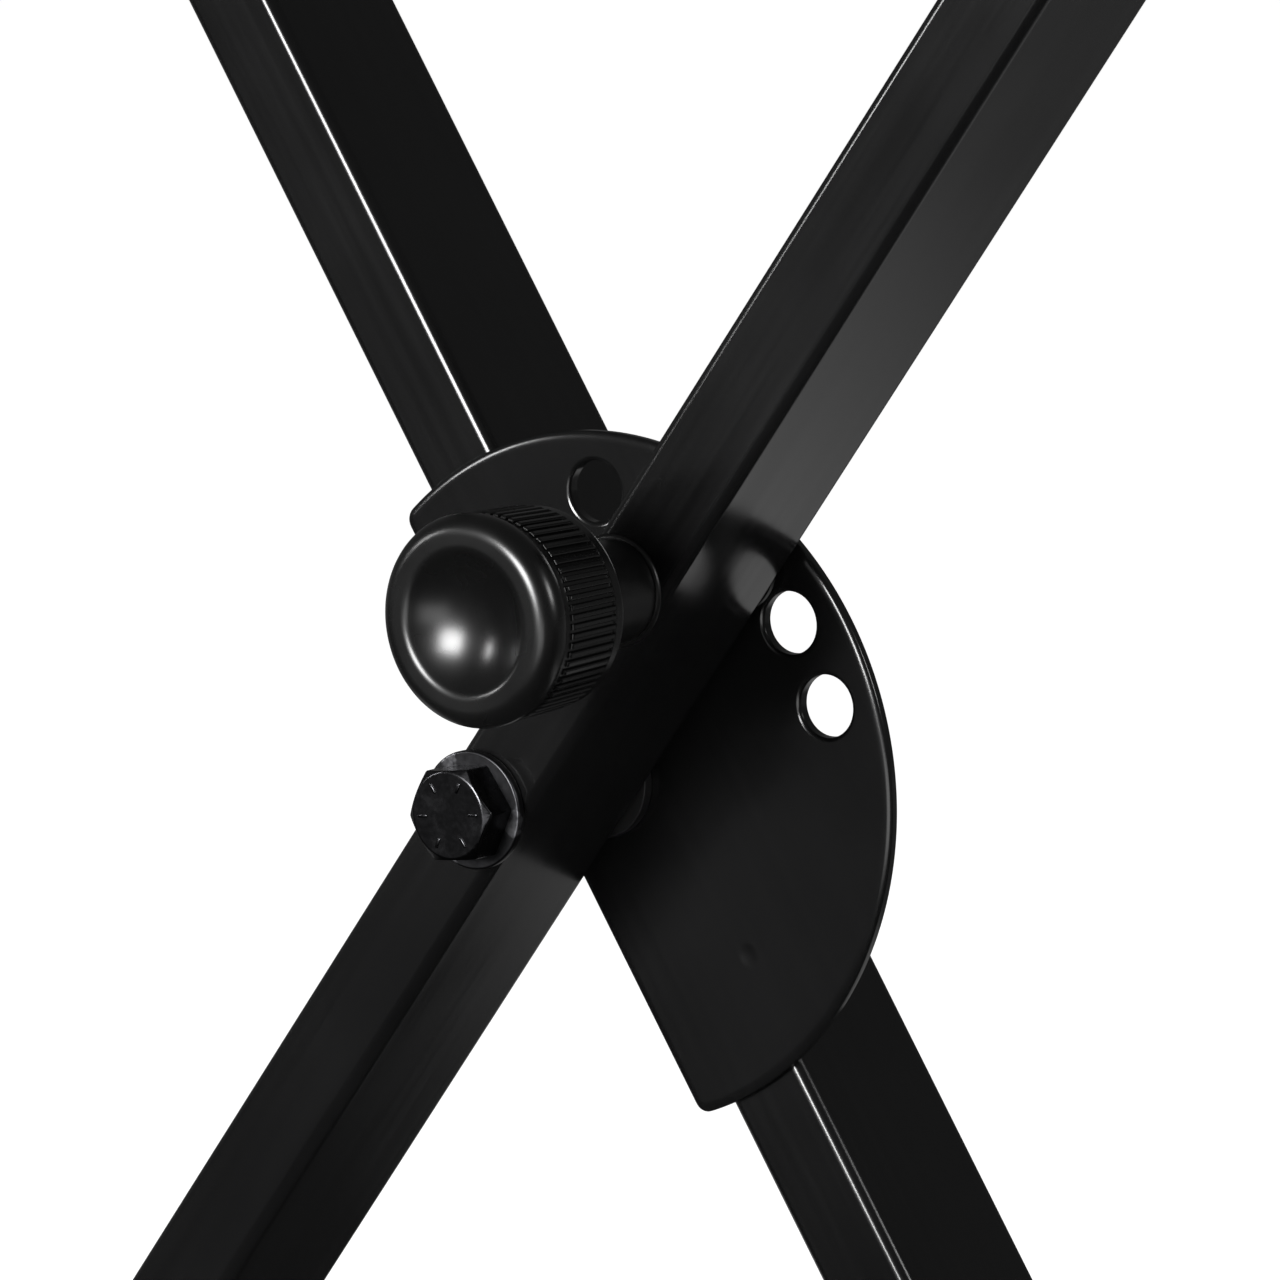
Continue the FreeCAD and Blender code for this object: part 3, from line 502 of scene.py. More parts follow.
def pick(piece, kind, test):
    """Selects, in edit mode, the points, edges or faces that pass the test."""
    if bpy.context.mode != "EDIT_MESH":
        take(piece)
        bpy.ops.object.mode_set(mode="EDIT")
    bpy.ops.mesh.select_mode(type=kind)
    bpy.ops.mesh.select_all(action="DESELECT")
    mesh = bmesh.from_edit_mesh(piece.data)
    elements = {"VERT": mesh.verts, "EDGE": mesh.edges, "FACE": mesh.faces}[kind]
    found = [element for element in elements if test(element)]
    if not found:
        raise RuntimeError(f"nothing to select on {piece.name}")
    for element in found:
        element.select_set(True)
    mesh.select_flush_mode()
    bmesh.update_edit_mesh(piece.data)


def runs_along(edge, axis):
    return (edge.verts[1].co - edge.verts[0].co).normalized().cross(axis).length < 1e-4


def middle(edge):
    return (edge.verts[0].co + edge.verts[1].co) / 2


def round_edges(piece, test, radius, steps):
    pick(piece, "EDGE", test)
    bpy.ops.mesh.bevel(offset=radius, offset_type="OFFSET", segments=steps, profile=0.5, affect="EDGES")
    bpy.ops.object.mode_set(mode="OBJECT")


def arc(centre, radius, start, end, steps, height=None):
    """Points of an arc in radius and height, its angles in degrees, flattened to a height if given."""
    angles = [math.radians(start + (end - start) * step / steps) for step in range(steps + 1)]
    rise = height or radius
    return [(centre[0] + radius * math.cos(a), centre[1] + rise * math.sin(a)) for a in angles]


def crown(width, height, steps):
    """Raises the selected faces, with a quarter round of that width and height at their edges."""
    for step in range(steps):
        low, high = QUARTER * step / steps, QUARTER * (step + 1) / steps
        bpy.ops.mesh.inset(thickness=width * (math.cos(low) - math.cos(high)),
                           depth=height * (math.sin(high) - math.sin(low)))
    bpy.ops.object.mode_set(mode="OBJECT")


def drawn(name, points):
    """A wire through the points, extruded from one point and left in edit mode, all of it selected."""
    object_mode()
    bpy.ops.mesh.primitive_plane_add(size=MM)
    piece = named(name)
    bpy.ops.object.mode_set(mode="EDIT")
    bpy.ops.mesh.select_mode(type="VERT")
    bpy.ops.mesh.select_all(action="SELECT")
    bpy.ops.mesh.merge(type="CENTER")
    bpy.ops.transform.translate(value=points[0])
    for start, end in zip(points, points[1:]):
        bpy.ops.mesh.extrude_vertices_move(TRANSFORM_OT_translate={"value": Vector(end) - Vector(start)})
    bpy.ops.mesh.select_all(action="SELECT")
    bpy.ops.mesh.remove_doubles(threshold=TINY)
    return piece


def turned(name, outline, steps):
    """Spins an outline of (radius, height) points about Z."""
    piece = drawn(name, [(radius, 0, height) for radius, height in outline])
    bpy.ops.mesh.spin(steps=steps, angle=FULL_TURN, center=(0, 0, 0), axis=(0, 0, 1))
    tidy(piece)
    return piece


def slab(name, outline, thickness):
    """A plate of that thickness on the XY plane, with an outline of (x, y) points."""
    piece = drawn(name, [(x, y, 0) for x, y in outline])
    bpy.ops.mesh.edge_face_add()
    bpy.ops.mesh.extrude_region_move(TRANSFORM_OT_translate={"value": (0, 0, thickness)})
    tidy(piece)
    return piece


def tidy(piece):
    """Merges doubles and turns every face outwards."""
    if bpy.context.mode != "EDIT_MESH":
        take(piece)
        bpy.ops.object.mode_set(mode="EDIT")
    bpy.ops.mesh.select_all(action="SELECT")
    bpy.ops.mesh.remove_doubles(threshold=TINY)
    bpy.ops.mesh.delete_loose(use_verts=True, use_edges=True, use_faces=False)
    bpy.ops.mesh.select_all(action="SELECT")
    bpy.ops.mesh.normals_make_consistent(inside=False)
    bpy.ops.object.mode_set(mode="OBJECT")


def use(piece, kind, **settings):
    """Adds a modifier, sets it up and applies it."""
    take(piece)
    modifier = piece.modifiers.new(kind.lower(), kind)
    for setting, value in settings.items():
        setattr(modifier, setting, value)
    bpy.ops.object.modifier_apply(modifier=modifier.name)


def cut(piece, tool, operation="DIFFERENCE"):
    """Cuts a piece with a tool, or keeps what both share, and throws the tool away."""
    use(piece, "BOOLEAN", object=tool, operation=operation, solver="EXACT")
    bpy.data.objects.remove(tool)


def put(piece, place):
    """Moves a piece to its place and bakes the place into its mesh."""
    take(piece)
    piece.matrix_world = place
    bpy.ops.object.transform_apply(location=True, rotation=True, scale=True)
    tidy(piece)


def copy_of(piece, name):
    twin = piece.copy()
    twin.data = piece.data.copy()
    twin.name = twin.data.name = name
    bpy.context.scene.collection.objects.link(twin)
    return twin


def joined(name, pieces):
    """Makes several shapes one piece."""
    take(pieces[0])
    for piece in pieces:
        piece.select_set(True)
    bpy.ops.object.join()
    return named(name)


def smooth(piece, limit=math.radians(35)):
    """Smooths rounded stretches and keeps flat faces flat."""
    take(piece)
    bpy.ops.object.shade_smooth_by_angle(angle=limit)
    use(piece, "WEIGHTED_NORMAL", keep_sharp=True, weight=50)


def dress(piece, body, slot, *nodes, finish=None):
    """Gives a piece its body and its finish, its slot's own if none is named, in place of its CAD nodes."""
    smooth(piece)
    piece.data.materials.clear()
    piece.data.materials.append(FINISHES[finish or slot])
    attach(piece, body)
    if nodes:
        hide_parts(*nodes)
    object_mode()


def hollow_ends(piece, wall):
    """Opens a block's ends along Z into a tube with a wall."""
    def is_end(face):
        return abs(face.normal.z) > 0.9

    pick(piece, "FACE", is_end)
    bpy.ops.mesh.inset(thickness=wall, use_even_offset=True)
    pick(piece, "FACE", lambda face: is_end(face) and face.calc_center_median().xy.length < 10 * TINY)
    bpy.ops.mesh.bridge_edge_loops()
    bpy.ops.object.mode_set(mode="OBJECT")


def tube(name, width, depth, low, high, corner, steps, wall):
    """A rounded rectangular tube along Z, about the Z axis."""
    piece = block(name, (-width / 2, -depth / 2, low), (width / 2, depth / 2, high))
    round_edges(piece, lambda edge: runs_along(edge, AXIS_Z), corner, steps)
    hollow_ends(piece, wall)
    return piece


def hexagon(name, across_flats, low, high, turn, edge, chamfer, bore=0.0):
    """A hexagon along Z, its edges broken and its far end turned to a cone, with a bore if it is a nut."""
    corner = across_flats / math.sqrt(3)
    flat = across_flats / 2 * FLAT_SHARE
    reach = 2 * corner
    shoulder = high - (reach - flat) * math.tan(chamfer)
    piece = drum(name, corner, low, high, 6, turn)
    round_edges(piece, lambda e: runs_along(e, AXIS_Z), edge, 3)
    cone = [(bore, low - reach), (reach, low - reach), (reach, shoulder), (flat, high), (bore, high)]
    cut(piece, turned("cone", cone + (cone[:1] if bore else []), 96), "INTERSECT")
    round_edges(piece, lambda e: is_rim(e, low), RIM_ROUND, 3)
    return piece


def is_rim(edge, low):
    """An edge of a hexagon's turned end."""
    return is_sharp(edge, 12) and middle(edge).z > low + TINY and not runs_along(edge, AXIS_Z)


def is_sharp(edge, degrees):
    faces = edge.link_faces
    return len(faces) == 2 and faces[0].normal.angle(faces[1].normal, 0) > math.radians(degrees)


def washer_outline(bore, radius, thickness, edge):
    """A flat ring from its bore to its rounded rim, closed."""
    rim = arc((radius - edge, edge), edge, -90, 0, 5)
    rim += arc((radius - edge, thickness - edge), edge, 0, 90, 5)
    return [(bore, 0)] + rim + [(bore, thickness), (bore, 0)]


# ------------------------------------------------------------------ operators
class StandOperator:
    bl_options = {"REGISTER", "UNDO"}


class STAND_OT_finishes(StandOperator, bpy.types.Operator):
    """Makes the materials and gives them to the CAD pieces that stay in view"""
    bl_idname = "stand.finishes"
    bl_label = "Finishes"

    def execute(self, context):
        make_finishes(context.scene.stand_finish)
        slots = {part["node"]: part["material_slot"] for part in frame["record"]["subparts"]}
        for node, piece in frame["nodes"].items():
            piece.data.materials.clear()
            piece.data.materials.append(FINISHES[slots[node]])
        return {"FINISHED"}


class STAND_OT_legs(StandOperator, bpy.types.Operator):
    """Models the two leg tubes with their crossings"""
    bl_idname = "stand.legs"
    bl_label = "Leg tubes"

    def execute(self, context):
        legs = context.scene.stand_legs
        for side in SIDES:
            place = leg_place(side)
            low, high = box_in(side + "_leg_tube", place)
            middle_y = (low.y + high.y) / 2
            leg = tube(side + "_leg", high.x - low.x, high.y - low.y, low.z, high.z, legs.corner,
                       legs.corner_steps, legs.wall)
            crossings = [side + "_pivot_sleeve"] + (["plunger_guide"] if side == "front" else [])
            for node in crossings:
                across_low, across_high = box_in(node, place)
                sleeve_low, sleeve_high = box_in(side + "_pivot_sleeve", place)
                radius = (sleeve_high.x - sleeve_low.x if "sleeve" in node else legs.guide_hole) / 2
                hole = drum("hole", radius, -(high.y - low.y), high.y - low.y, 64)
                put(hole, ahead(0, 0, (across_low.z + across_high.z) / 2))
                cut(leg, hole)
            put(leg, place @ Matrix.Translation((0, middle_y, 0)))
            dress(leg, BODIES[side], "leg_paint", side + "_leg_tube", finish=side + "_leg_paint")
        return {"FINISHED"}


class STAND_OT_plate(StandOperator, bpy.types.Operator):
    """Models the D-shaped lock plate with its ring of holes"""
    bl_idname = "stand.plate"
    bl_label = "Lock plate"

    def execute(self, context):
        sizes = context.scene.stand_plate
        low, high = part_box("lock_plate")
        thickness = high.y - low.y
        blank = thickness - sizes.roll_depth
        plate = slab("lock_plate_dressed", self.outline(sizes), blank)
        round_edges(plate, lambda edge: is_sharp(edge, 60) and middle(edge).z < TINY, sizes.back_edge, 3)
        pick(plate, "FACE", lambda face: face.normal.z > 0.9)
        crown(sizes.roll, sizes.roll_depth, 8)
        used = QUARTER - 2 * LEAN + sizes.bearing_angle
        for hole in range(sizes.holes):
            turn = used + (hole - sizes.holes // 2) * sizes.hole_pitch
            punch = turned("punch", self.punch_outline(sizes, thickness), 96)
            centre = Vector((math.cos(turn), math.sin(turn), 0)) * sizes.hole_circle
            punch.matrix_world = Matrix.Translation(centre)
            cut(plate, punch)
        cut(plate, drum("pivot_hole", sizes.pivot_hole / 2, -thickness, 2 * thickness, 64))
        put(plate, leg_place("rear") @ ahead(0, high.y, 0))
        dress(plate, "rear_frame", "plate_paint", "lock_plate")
        return {"FINISHED"}

    def punch_outline(self, sizes, thickness):
        """A lock hole's punch, which widens in a round at the plate's front and goes on past it."""
        radius, edge = sizes.hole_diameter / 2, thickness - sizes.mouth_depth
        mouth = arc((radius + sizes.mouth, edge), sizes.mouth, 180, 110, 6, sizes.mouth_depth)
        last, end = Vector(mouth[-2]), Vector(mouth[-1])
        past = end + (end - last).normalized() * sizes.mouth
        return [(0, -thickness), (radius, -thickness)] + mouth + [tuple(past), (0, past.y)]

    def outline(self, sizes):
        """A D: a large arc about the pivot, two rounded corners and the chord between them."""
        corner_x = sizes.corner - sizes.chord
        corner_y = math.sqrt((sizes.radius - sizes.corner) ** 2 - corner_x ** 2)
        turn = math.degrees(math.atan2(corner_y, corner_x))
        points = arc((0, 0), sizes.radius, -turn, turn, 240)
        points += arc((corner_x, corner_y), sizes.corner, turn, 180, 8)
        points += arc((corner_x, -corner_y), sizes.corner, 180, 360 - turn, 8)
        return points + points[:1]


class STAND_OT_pivot(StandOperator, bpy.types.Operator):
    """Models the pivot bolt, its washers, the spacer and the lock nut"""
    bl_idname = "stand.pivot"
    bl_label = "Pivot"

    def execute(self, context):
        sizes = context.scene.stand_pivot
        for node, slot, edge in (("pivot_head_washer", "black_zinc", sizes.washer_edge),
                                 ("pivot_rear_washer", "black_zinc", sizes.washer_edge),
                                 ("pivot_spacer", "nylon", sizes.washer_edge / 2)):
            low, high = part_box(node)
            outline = washer_outline(sizes.washer_bore / 2, (high.x - low.x) / 2, high.y - low.y, edge)
            washer = turned(node + "_dressed", outline, 96)
            put(washer, ahead(PIVOT.x, high.y, PIVOT.z))
            dress(washer, "rear_frame", slot, node, finish="rubbed_zinc" if slot == "black_zinc" else slot)
        self.make_bolt(sizes)
        self.make_nut(sizes)
        return {"FINISHED"}

    def make_bolt(self, sizes):
        low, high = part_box("pivot_bolt")
        seat = high.y - low.y - sizes.head_height
        top = seat + sizes.head_height
        head = hexagon("pivot_bolt_dressed", sizes.across_flats, seat, top, sizes.corner_turn, sizes.hex_edge,
                       sizes.chamfer)
        radius = sizes.shank / 2
        core = radius - sizes.thread_depth
        outline = [(0, 0), (core, 0), (radius, sizes.thread_depth)]
        thread_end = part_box("pivot_lock_nut")[1].y
        threads = int((high.y - thread_end + sizes.collar) / sizes.thread_pitch)
        for number in range(threads):
            start = sizes.thread_depth + number * sizes.thread_pitch
            outline += [(radius, start + 0.2 * sizes.thread_pitch),
                        (core, start + 0.6 * sizes.thread_pitch),
                        (radius, start + sizes.thread_pitch)]
        outline += [(radius, seat + MM), (0, seat + MM)]
        shank = turned("shank", outline, 64)
        pieces = [head, shank]
        for number in range(sizes.mark_count):
            pieces.append(self.make_mark(sizes, top, FULL_TURN * number / sizes.mark_count))
        bolt = joined("pivot_bolt_dressed", pieces)
        put(bolt, ahead(PIVOT.x, high.y, PIVOT.z))
        dress(bolt, "rear_frame", "black_zinc", "pivot_bolt")

    def make_mark(self, sizes, top, turn):
        """A short raised tick near the head's rim."""
        mark = block("mark", (MARK_INNER, -MARK_HALF_WIDTH, top - MARK_SINK),
                     (MARK_OUTER, MARK_HALF_WIDTH, top + MARK_RISE))
        round_edges(mark, lambda edge: middle(edge).z > top, MARK_ROUND, 2)
        put(mark, Matrix.Rotation(turn + sizes.corner_turn, 4, "Z"))
        return mark

    def make_nut(self, sizes):
        low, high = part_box("pivot_lock_nut")
        height = high.y - low.y
        radius, bore = sizes.across_flats / 2, sizes.shank / 2
        nut = hexagon("pivot_lock_nut_dressed", sizes.across_flats, 0, height - sizes.collar,
                      sizes.corner_turn, sizes.hex_edge, sizes.chamfer, bore)
        edge = sizes.washer_edge
        ring = ([(bore, height - 2 * sizes.collar), (radius, height - 2 * sizes.collar)]
                + arc((radius - 3 * edge, height - 3 * edge), 3 * edge, 0, 90, 6)
                + [(bore + edge, height), (bore + edge, height - edge), (bore, height - edge),
                   (bore, height - 2 * sizes.collar)])
        collar = turned("collar", ring, 96)
        nut = joined("pivot_lock_nut_dressed", [nut, collar])
        put(nut, Matrix.Translation((PIVOT.x, low.y, PIVOT.z)) @ Matrix.Rotation(-QUARTER, 4, "X"))
        dress(nut, "rear_frame", "black_zinc", "pivot_lock_nut")


class STAND_OT_housing(StandOperator, bpy.types.Operator):
    """Models the plunger's round housing and its weld"""
    bl_idname = "stand.housing"
    bl_label = "Plunger housing"

    def execute(self, context):
        sizes = context.scene.stand_housing
        low, high = box_in("plunger_housing", leg_place("front"))
        radius, height = (high.x - low.x) / 2, high.y - low.y
        bore, rod, floor = sizes.bore / 2, sizes.rod_bore / 2, height - sizes.cap
        outline = ([(bore, 0), (radius, 0)]
                   + arc((radius - sizes.edge, height - sizes.edge), sizes.edge, 0, 90, 6)
                   + [(rod, height), (rod, floor), (bore, floor), (bore, 0)])
        cup = turned("plunger_housing_dressed", outline, 128)
        base = ahead(PIN.x, high.y, PIN.z)
        put(cup, base)
        dress(cup, "front_frame", "leg_paint", "plunger_housing", finish="housing_paint")
        bead = sizes.bead
        weld = turned("housing_weld", [(radius - bead, 0), (radius + bead, 0)]
                      + arc((radius, 0), bead, 15, 80, 5)
                      + [(radius - bead, bead), (radius - bead, 0)], 128)
        put(weld, base)
        dress(weld, "front_frame", "leg_paint", finish="housing_paint")
        return {"FINISHED"}


class STAND_OT_spring(StandOperator, bpy.types.Operator):
    """Models the coil spring in the housing at one length, fixed to the plunger's seat; the real spring shortens
    as the knob is pulled
    """
    bl_idname = "stand.spring"
    bl_label = "Plunger spring"

    def execute(self, context):
        sizes = context.scene.stand_housing
        low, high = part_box("plunger_spring")
        length = high.y - low.y
        radius = (high.x - low.x - sizes.spring_wire) / 2
        object_mode()
        bpy.ops.mesh.primitive_circle_add(
            vertices=16, radius=sizes.spring_wire / 2, location=(radius, 0, sizes.spring_wire / 2),
            rotation=(QUARTER, 0, 0))
        spring = named("plunger_spring_dressed")
        bpy.ops.object.transform_apply(location=True, rotation=True, scale=True)
        use(spring, "SCREW", axis="Z", iterations=sizes.spring_turns, steps=48,
            screw_offset=(length - sizes.spring_wire) / sizes.spring_turns)
        pick(spring, "EDGE", lambda edge: len(edge.link_faces) == 1)
        bpy.ops.mesh.fill_holes(sides=0)
        tidy(spring)
        put(spring, ahead(PIN.x, high.y, PIN.z))
        dress(spring, "plunger_seat", "spring_steel", "plunger_spring")
        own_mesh(spring)
        return {"FINISHED"}


class STAND_OT_knob(StandOperator, bpy.types.Operator):
    """Models the pull knob: dish, round lip, neck, grip ridges and hollow skirt"""
    bl_idname = "stand.knob"
    bl_label = "Pull knob"

    def execute(self, context):
        sizes = context.scene.stand_knob
        face = box_in("plunger_housing", leg_place("front"))[1].y
        columns = 6
        knob = turned("pull_knob_dressed", self.outline(sizes), columns * sizes.ridges)
        self.raise_ridges(knob, sizes, columns)
        put(knob, ahead(PIN.x, face, PIN.z))
        dress(knob, "plunger", "knob_plastic", "pull_knob")
        return {"FINISHED"}

    def outline(self, sizes):
        """From the recess's mouth round the skirt, the lip and the dish to the recess's floor."""
        back, front = sizes.back, sizes.back + sizes.length
        recess, insert = sizes.recess / 2, sizes.insert / 2
        ridge_back = back + 2 * sizes.skirt_edge
        ridge_front = ridge_back + sizes.ridge_length
        neck_front = ridge_front + sizes.neck_width
        lip_middle = front - sizes.lip
        edge_middle = sizes.rim - sizes.lip_width
        slope = 2 * math.atan2(sizes.dish_depth, edge_middle)
        curve = edge_middle / math.sin(slope) - sizes.dish_edge
        valley = sizes.ridge_depth
        points = [(recess, back)]
        points += arc((sizes.skirt - sizes.skirt_edge, back + sizes.skirt_edge), sizes.skirt_edge,
                      -90, 0, 8)
        points += [(sizes.skirt, ridge_back), (sizes.ridge_back - valley, ridge_back + RIDGE_GAP),
                   (sizes.ridge_front - valley, ridge_front - RIDGE_GAP), (sizes.neck, ridge_front),
                   (sizes.neck, neck_front)]
        rise = sizes.rim - sizes.neck
        run = lip_middle - neck_front
        turns = [QUARTER * step / 6 for step in range(1, 6)]
        points += [(sizes.neck + rise * math.sin(turn), neck_front + run * (1 - math.cos(turn)))
                   for turn in turns]
        points += arc((sizes.rim - sizes.lip, lip_middle), sizes.lip, 0, 90, 14)
        points += arc((edge_middle, front - sizes.dish_edge), sizes.dish_edge,
                      90, 90 + math.degrees(slope), 8)
        points += arc((0, front - sizes.dish_depth + curve), curve, math.degrees(slope) - 90, -90, 20)[1:-1]
        points += [(0, front - sizes.dish_depth)]
        end = sizes.recess_floor + sizes.insert_length
        points += [(0, end), (insert, end), (insert, sizes.recess_floor), (recess, sizes.recess_floor),
                   (recess, back)]
        return points

    def raise_ridges(self, knob, sizes, columns):
        """Draws each ridge out of the band by insets that follow a quarter round, at its ends and sides."""
        back = sizes.back + 2 * sizes.skirt_edge + RIDGE_GAP
        front = back + sizes.ridge_length - 0.6 * MM
        pitch = FULL_TURN / sizes.ridges
        taken = columns - 2

        def on_ridge(face):
            centre = face.calc_center_median()
            turn = math.atan2(centre.y, centre.x) % pitch
            outside = math.hypot(centre.x, centre.y) > sizes.recess / 2 + 2 * MM
            return (outside and back - TINY < centre.z < front + TINY and face.normal.xy.length > 0.9
                    and turn < pitch * taken / columns)

        pick(knob, "FACE", on_ridge)
        crown(sizes.ridge_shoulder, sizes.ridge_depth, 4)


class STAND_OT_bars(StandOperator, bpy.types.Operator):
    """Models the base bars and support arms with their saddle plates and welds"""
    bl_idname = "stand.bars"
    bl_label = "Bars, arms and saddles"

    def execute(self, context):
        sizes = context.scene.stand_bars
        wall = context.scene.stand_boots.end_wall
        for side in SIDES:
            place = leg_place(side)
            low, high = box_in(side + "_leg_tube", place)
            leg_y = (low.y + high.y) / 2
            for name, end_name, span, over in (("base_bar", "foot", sizes.base_span, 0),
                                               ("support_arm", "arm", sizes.arm_span, math.pi)):
                node = side + "_" + name
                half = span / 2 - wall
                bar = tube(node + "_dressed", sizes.side, sizes.side, -half, half, sizes.corner, 8,
                           sizes.wall)
                end = place @ Matrix.Rotation(over, 4, "Y") @ Matrix.Translation((0, 0, -sizes.reach))
                put(bar, end @ Matrix.Rotation(QUARTER, 4, "X"))
                dress(bar, BODIES[side], "leg_paint", node)
                self.make_saddle(sizes, side, end_name, end, leg_y)
                self.make_weld(sizes, side, end_name, end, low, high)
        return {"FINISHED"}

    def make_saddle(self, sizes, side, end_name, end, leg_y):
        node = f"{side}_{end_name}_saddle"
        bottom = sizes.side / 2
        half_length = sizes.bolt_spacing / 2 + SADDLE_END
        saddle = block(node + "_dressed", (-sizes.side / 2, -half_length, bottom),
                       (sizes.side / 2, half_length, bottom + sizes.saddle))
        round_edges(saddle, lambda edge: runs_along(edge, AXIS_Z), sizes.saddle_corner, 8)
        round_edges(saddle, lambda edge: is_sharp(edge, 60), SADDLE_EDGE, 3)
        for y in (-sizes.bolt_spacing / 2, sizes.bolt_spacing / 2):
            hole = drum("hole", sizes.bolt_hole / 2, 0, 2 * sizes.side, 48)
            hole.matrix_world = Matrix.Translation((0, y, 0))
            cut(saddle, hole)
        put(saddle, end @ Matrix.Translation((0, leg_y, 0)))
        dress(saddle, BODIES[side], "leg_paint", node)

    def make_weld(self, sizes, side, end_name, end, low, high):
        """The fillet weld round a leg's end, lumpy as a hand weld is."""
        foot = sizes.side / 2 + sizes.saddle
        weld = sizes.weld
        half_x, half_y = (high.x - low.x) / 2, (high.y - low.y) / 2
        bead = block(f"{side}_{end_name}_weld", (-half_x - weld, -half_y - weld, foot - WELD_SINK),
                     (half_x + weld, half_y + weld, foot + weld))
        pick(bead, "FACE", lambda face: face.normal.z > 0.9)
        bpy.ops.transform.resize(value=(half_x / (half_x + weld), half_y / (half_y + weld), 1))
        bpy.ops.object.mode_set(mode="OBJECT")

        def is_corner(edge):
            return abs(middle(edge).x) > half_x * 0.9 and abs(middle(edge).y) > half_y * 0.9

        round_edges(bead, is_corner, WELD_CORNER, 4)
        take(bead)
        bpy.ops.object.mode_set(mode="EDIT")
        bpy.ops.mesh.select_all(action="SELECT")
        bpy.ops.mesh.subdivide(number_cuts=12)
        bpy.ops.mesh.subdivide(number_cuts=2)
        bpy.ops.object.mode_set(mode="OBJECT")
        lumps = bpy.data.textures.new("weld_lumps", "CLOUDS")
        lumps.noise_scale = WELD_LUMP
        use(bead, "DISPLACE", texture=lumps, strength=WELD_LUMPINESS, mid_level=0.5, texture_coords="LOCAL")
        leg_y = (low.y + high.y) / 2
        put(bead, end @ Matrix.Translation((0, leg_y, 0)))
        dress(bead, BODIES[side], "leg_paint")


class STAND_OT_fastenings(StandOperator, bpy.types.Operator):
    """Models the saddle bolts and washers"""
    bl_idname = "stand.fastenings"
    bl_label = "Saddle bolts and washers"

    def execute(self, context):
        sizes = context.scene.stand_bars
        seat = sizes.side / 2 + sizes.saddle
        head_seat = seat + sizes.washer_thickness
        chamfer = context.scene.stand_pivot.chamfer
        head = hexagon("saddle_bolt", sizes.bolt_hex, head_seat, head_seat + sizes.bolt_head, 0.0, RIM_ROUND,
                       chamfer)
        tip = head_seat - sizes.bolt_length
        shank = drum("shank", sizes.bolt_shank / 2, tip, head_seat + MM, 48)
        round_edges(shank, lambda edge: middle(edge).z < tip + TINY and is_sharp(edge, 60), BOLT_TIP, 2)
        bolt = joined("saddle_bolt", [head, shank])
        outline = washer_outline(sizes.bolt_hole / 2, sizes.washer / 2, sizes.washer_thickness,
                                 SADDLE_WASHER_EDGE)
        washer = turned("saddle_washer", [(radius, height + seat) for radius, height in outline], 64)
        for side in SIDES:
            self.spread(sizes, side, bolt, side + "_saddle_bolts")
            self.spread(sizes, side, washer, side + "_saddle_washers")
        bpy.data.objects.remove(bolt)
        bpy.data.objects.remove(washer)
        return {"FINISHED"}

    def spread(self, sizes, side, piece, node):
        """Four copies of a fastening on a leg's two saddles."""
        place = leg_place(side)
        low, high = box_in(side + "_leg_tube", place)
        leg_y = (low.y + high.y) / 2
        copies = []
        for over in (0, math.pi):
            end = place @ Matrix.Rotation(over, 4, "Y") @ Matrix.Translation((0, 0, -sizes.reach))
            for y in (-sizes.bolt_spacing / 2, sizes.bolt_spacing / 2):
                twin = copy_of(piece, "copy")
                put(twin, end @ Matrix.Translation((0, leg_y + y, 0)))
                copies.append(twin)
        dress(joined(node + "_dressed", copies), BODIES[side], "black_zinc", node)


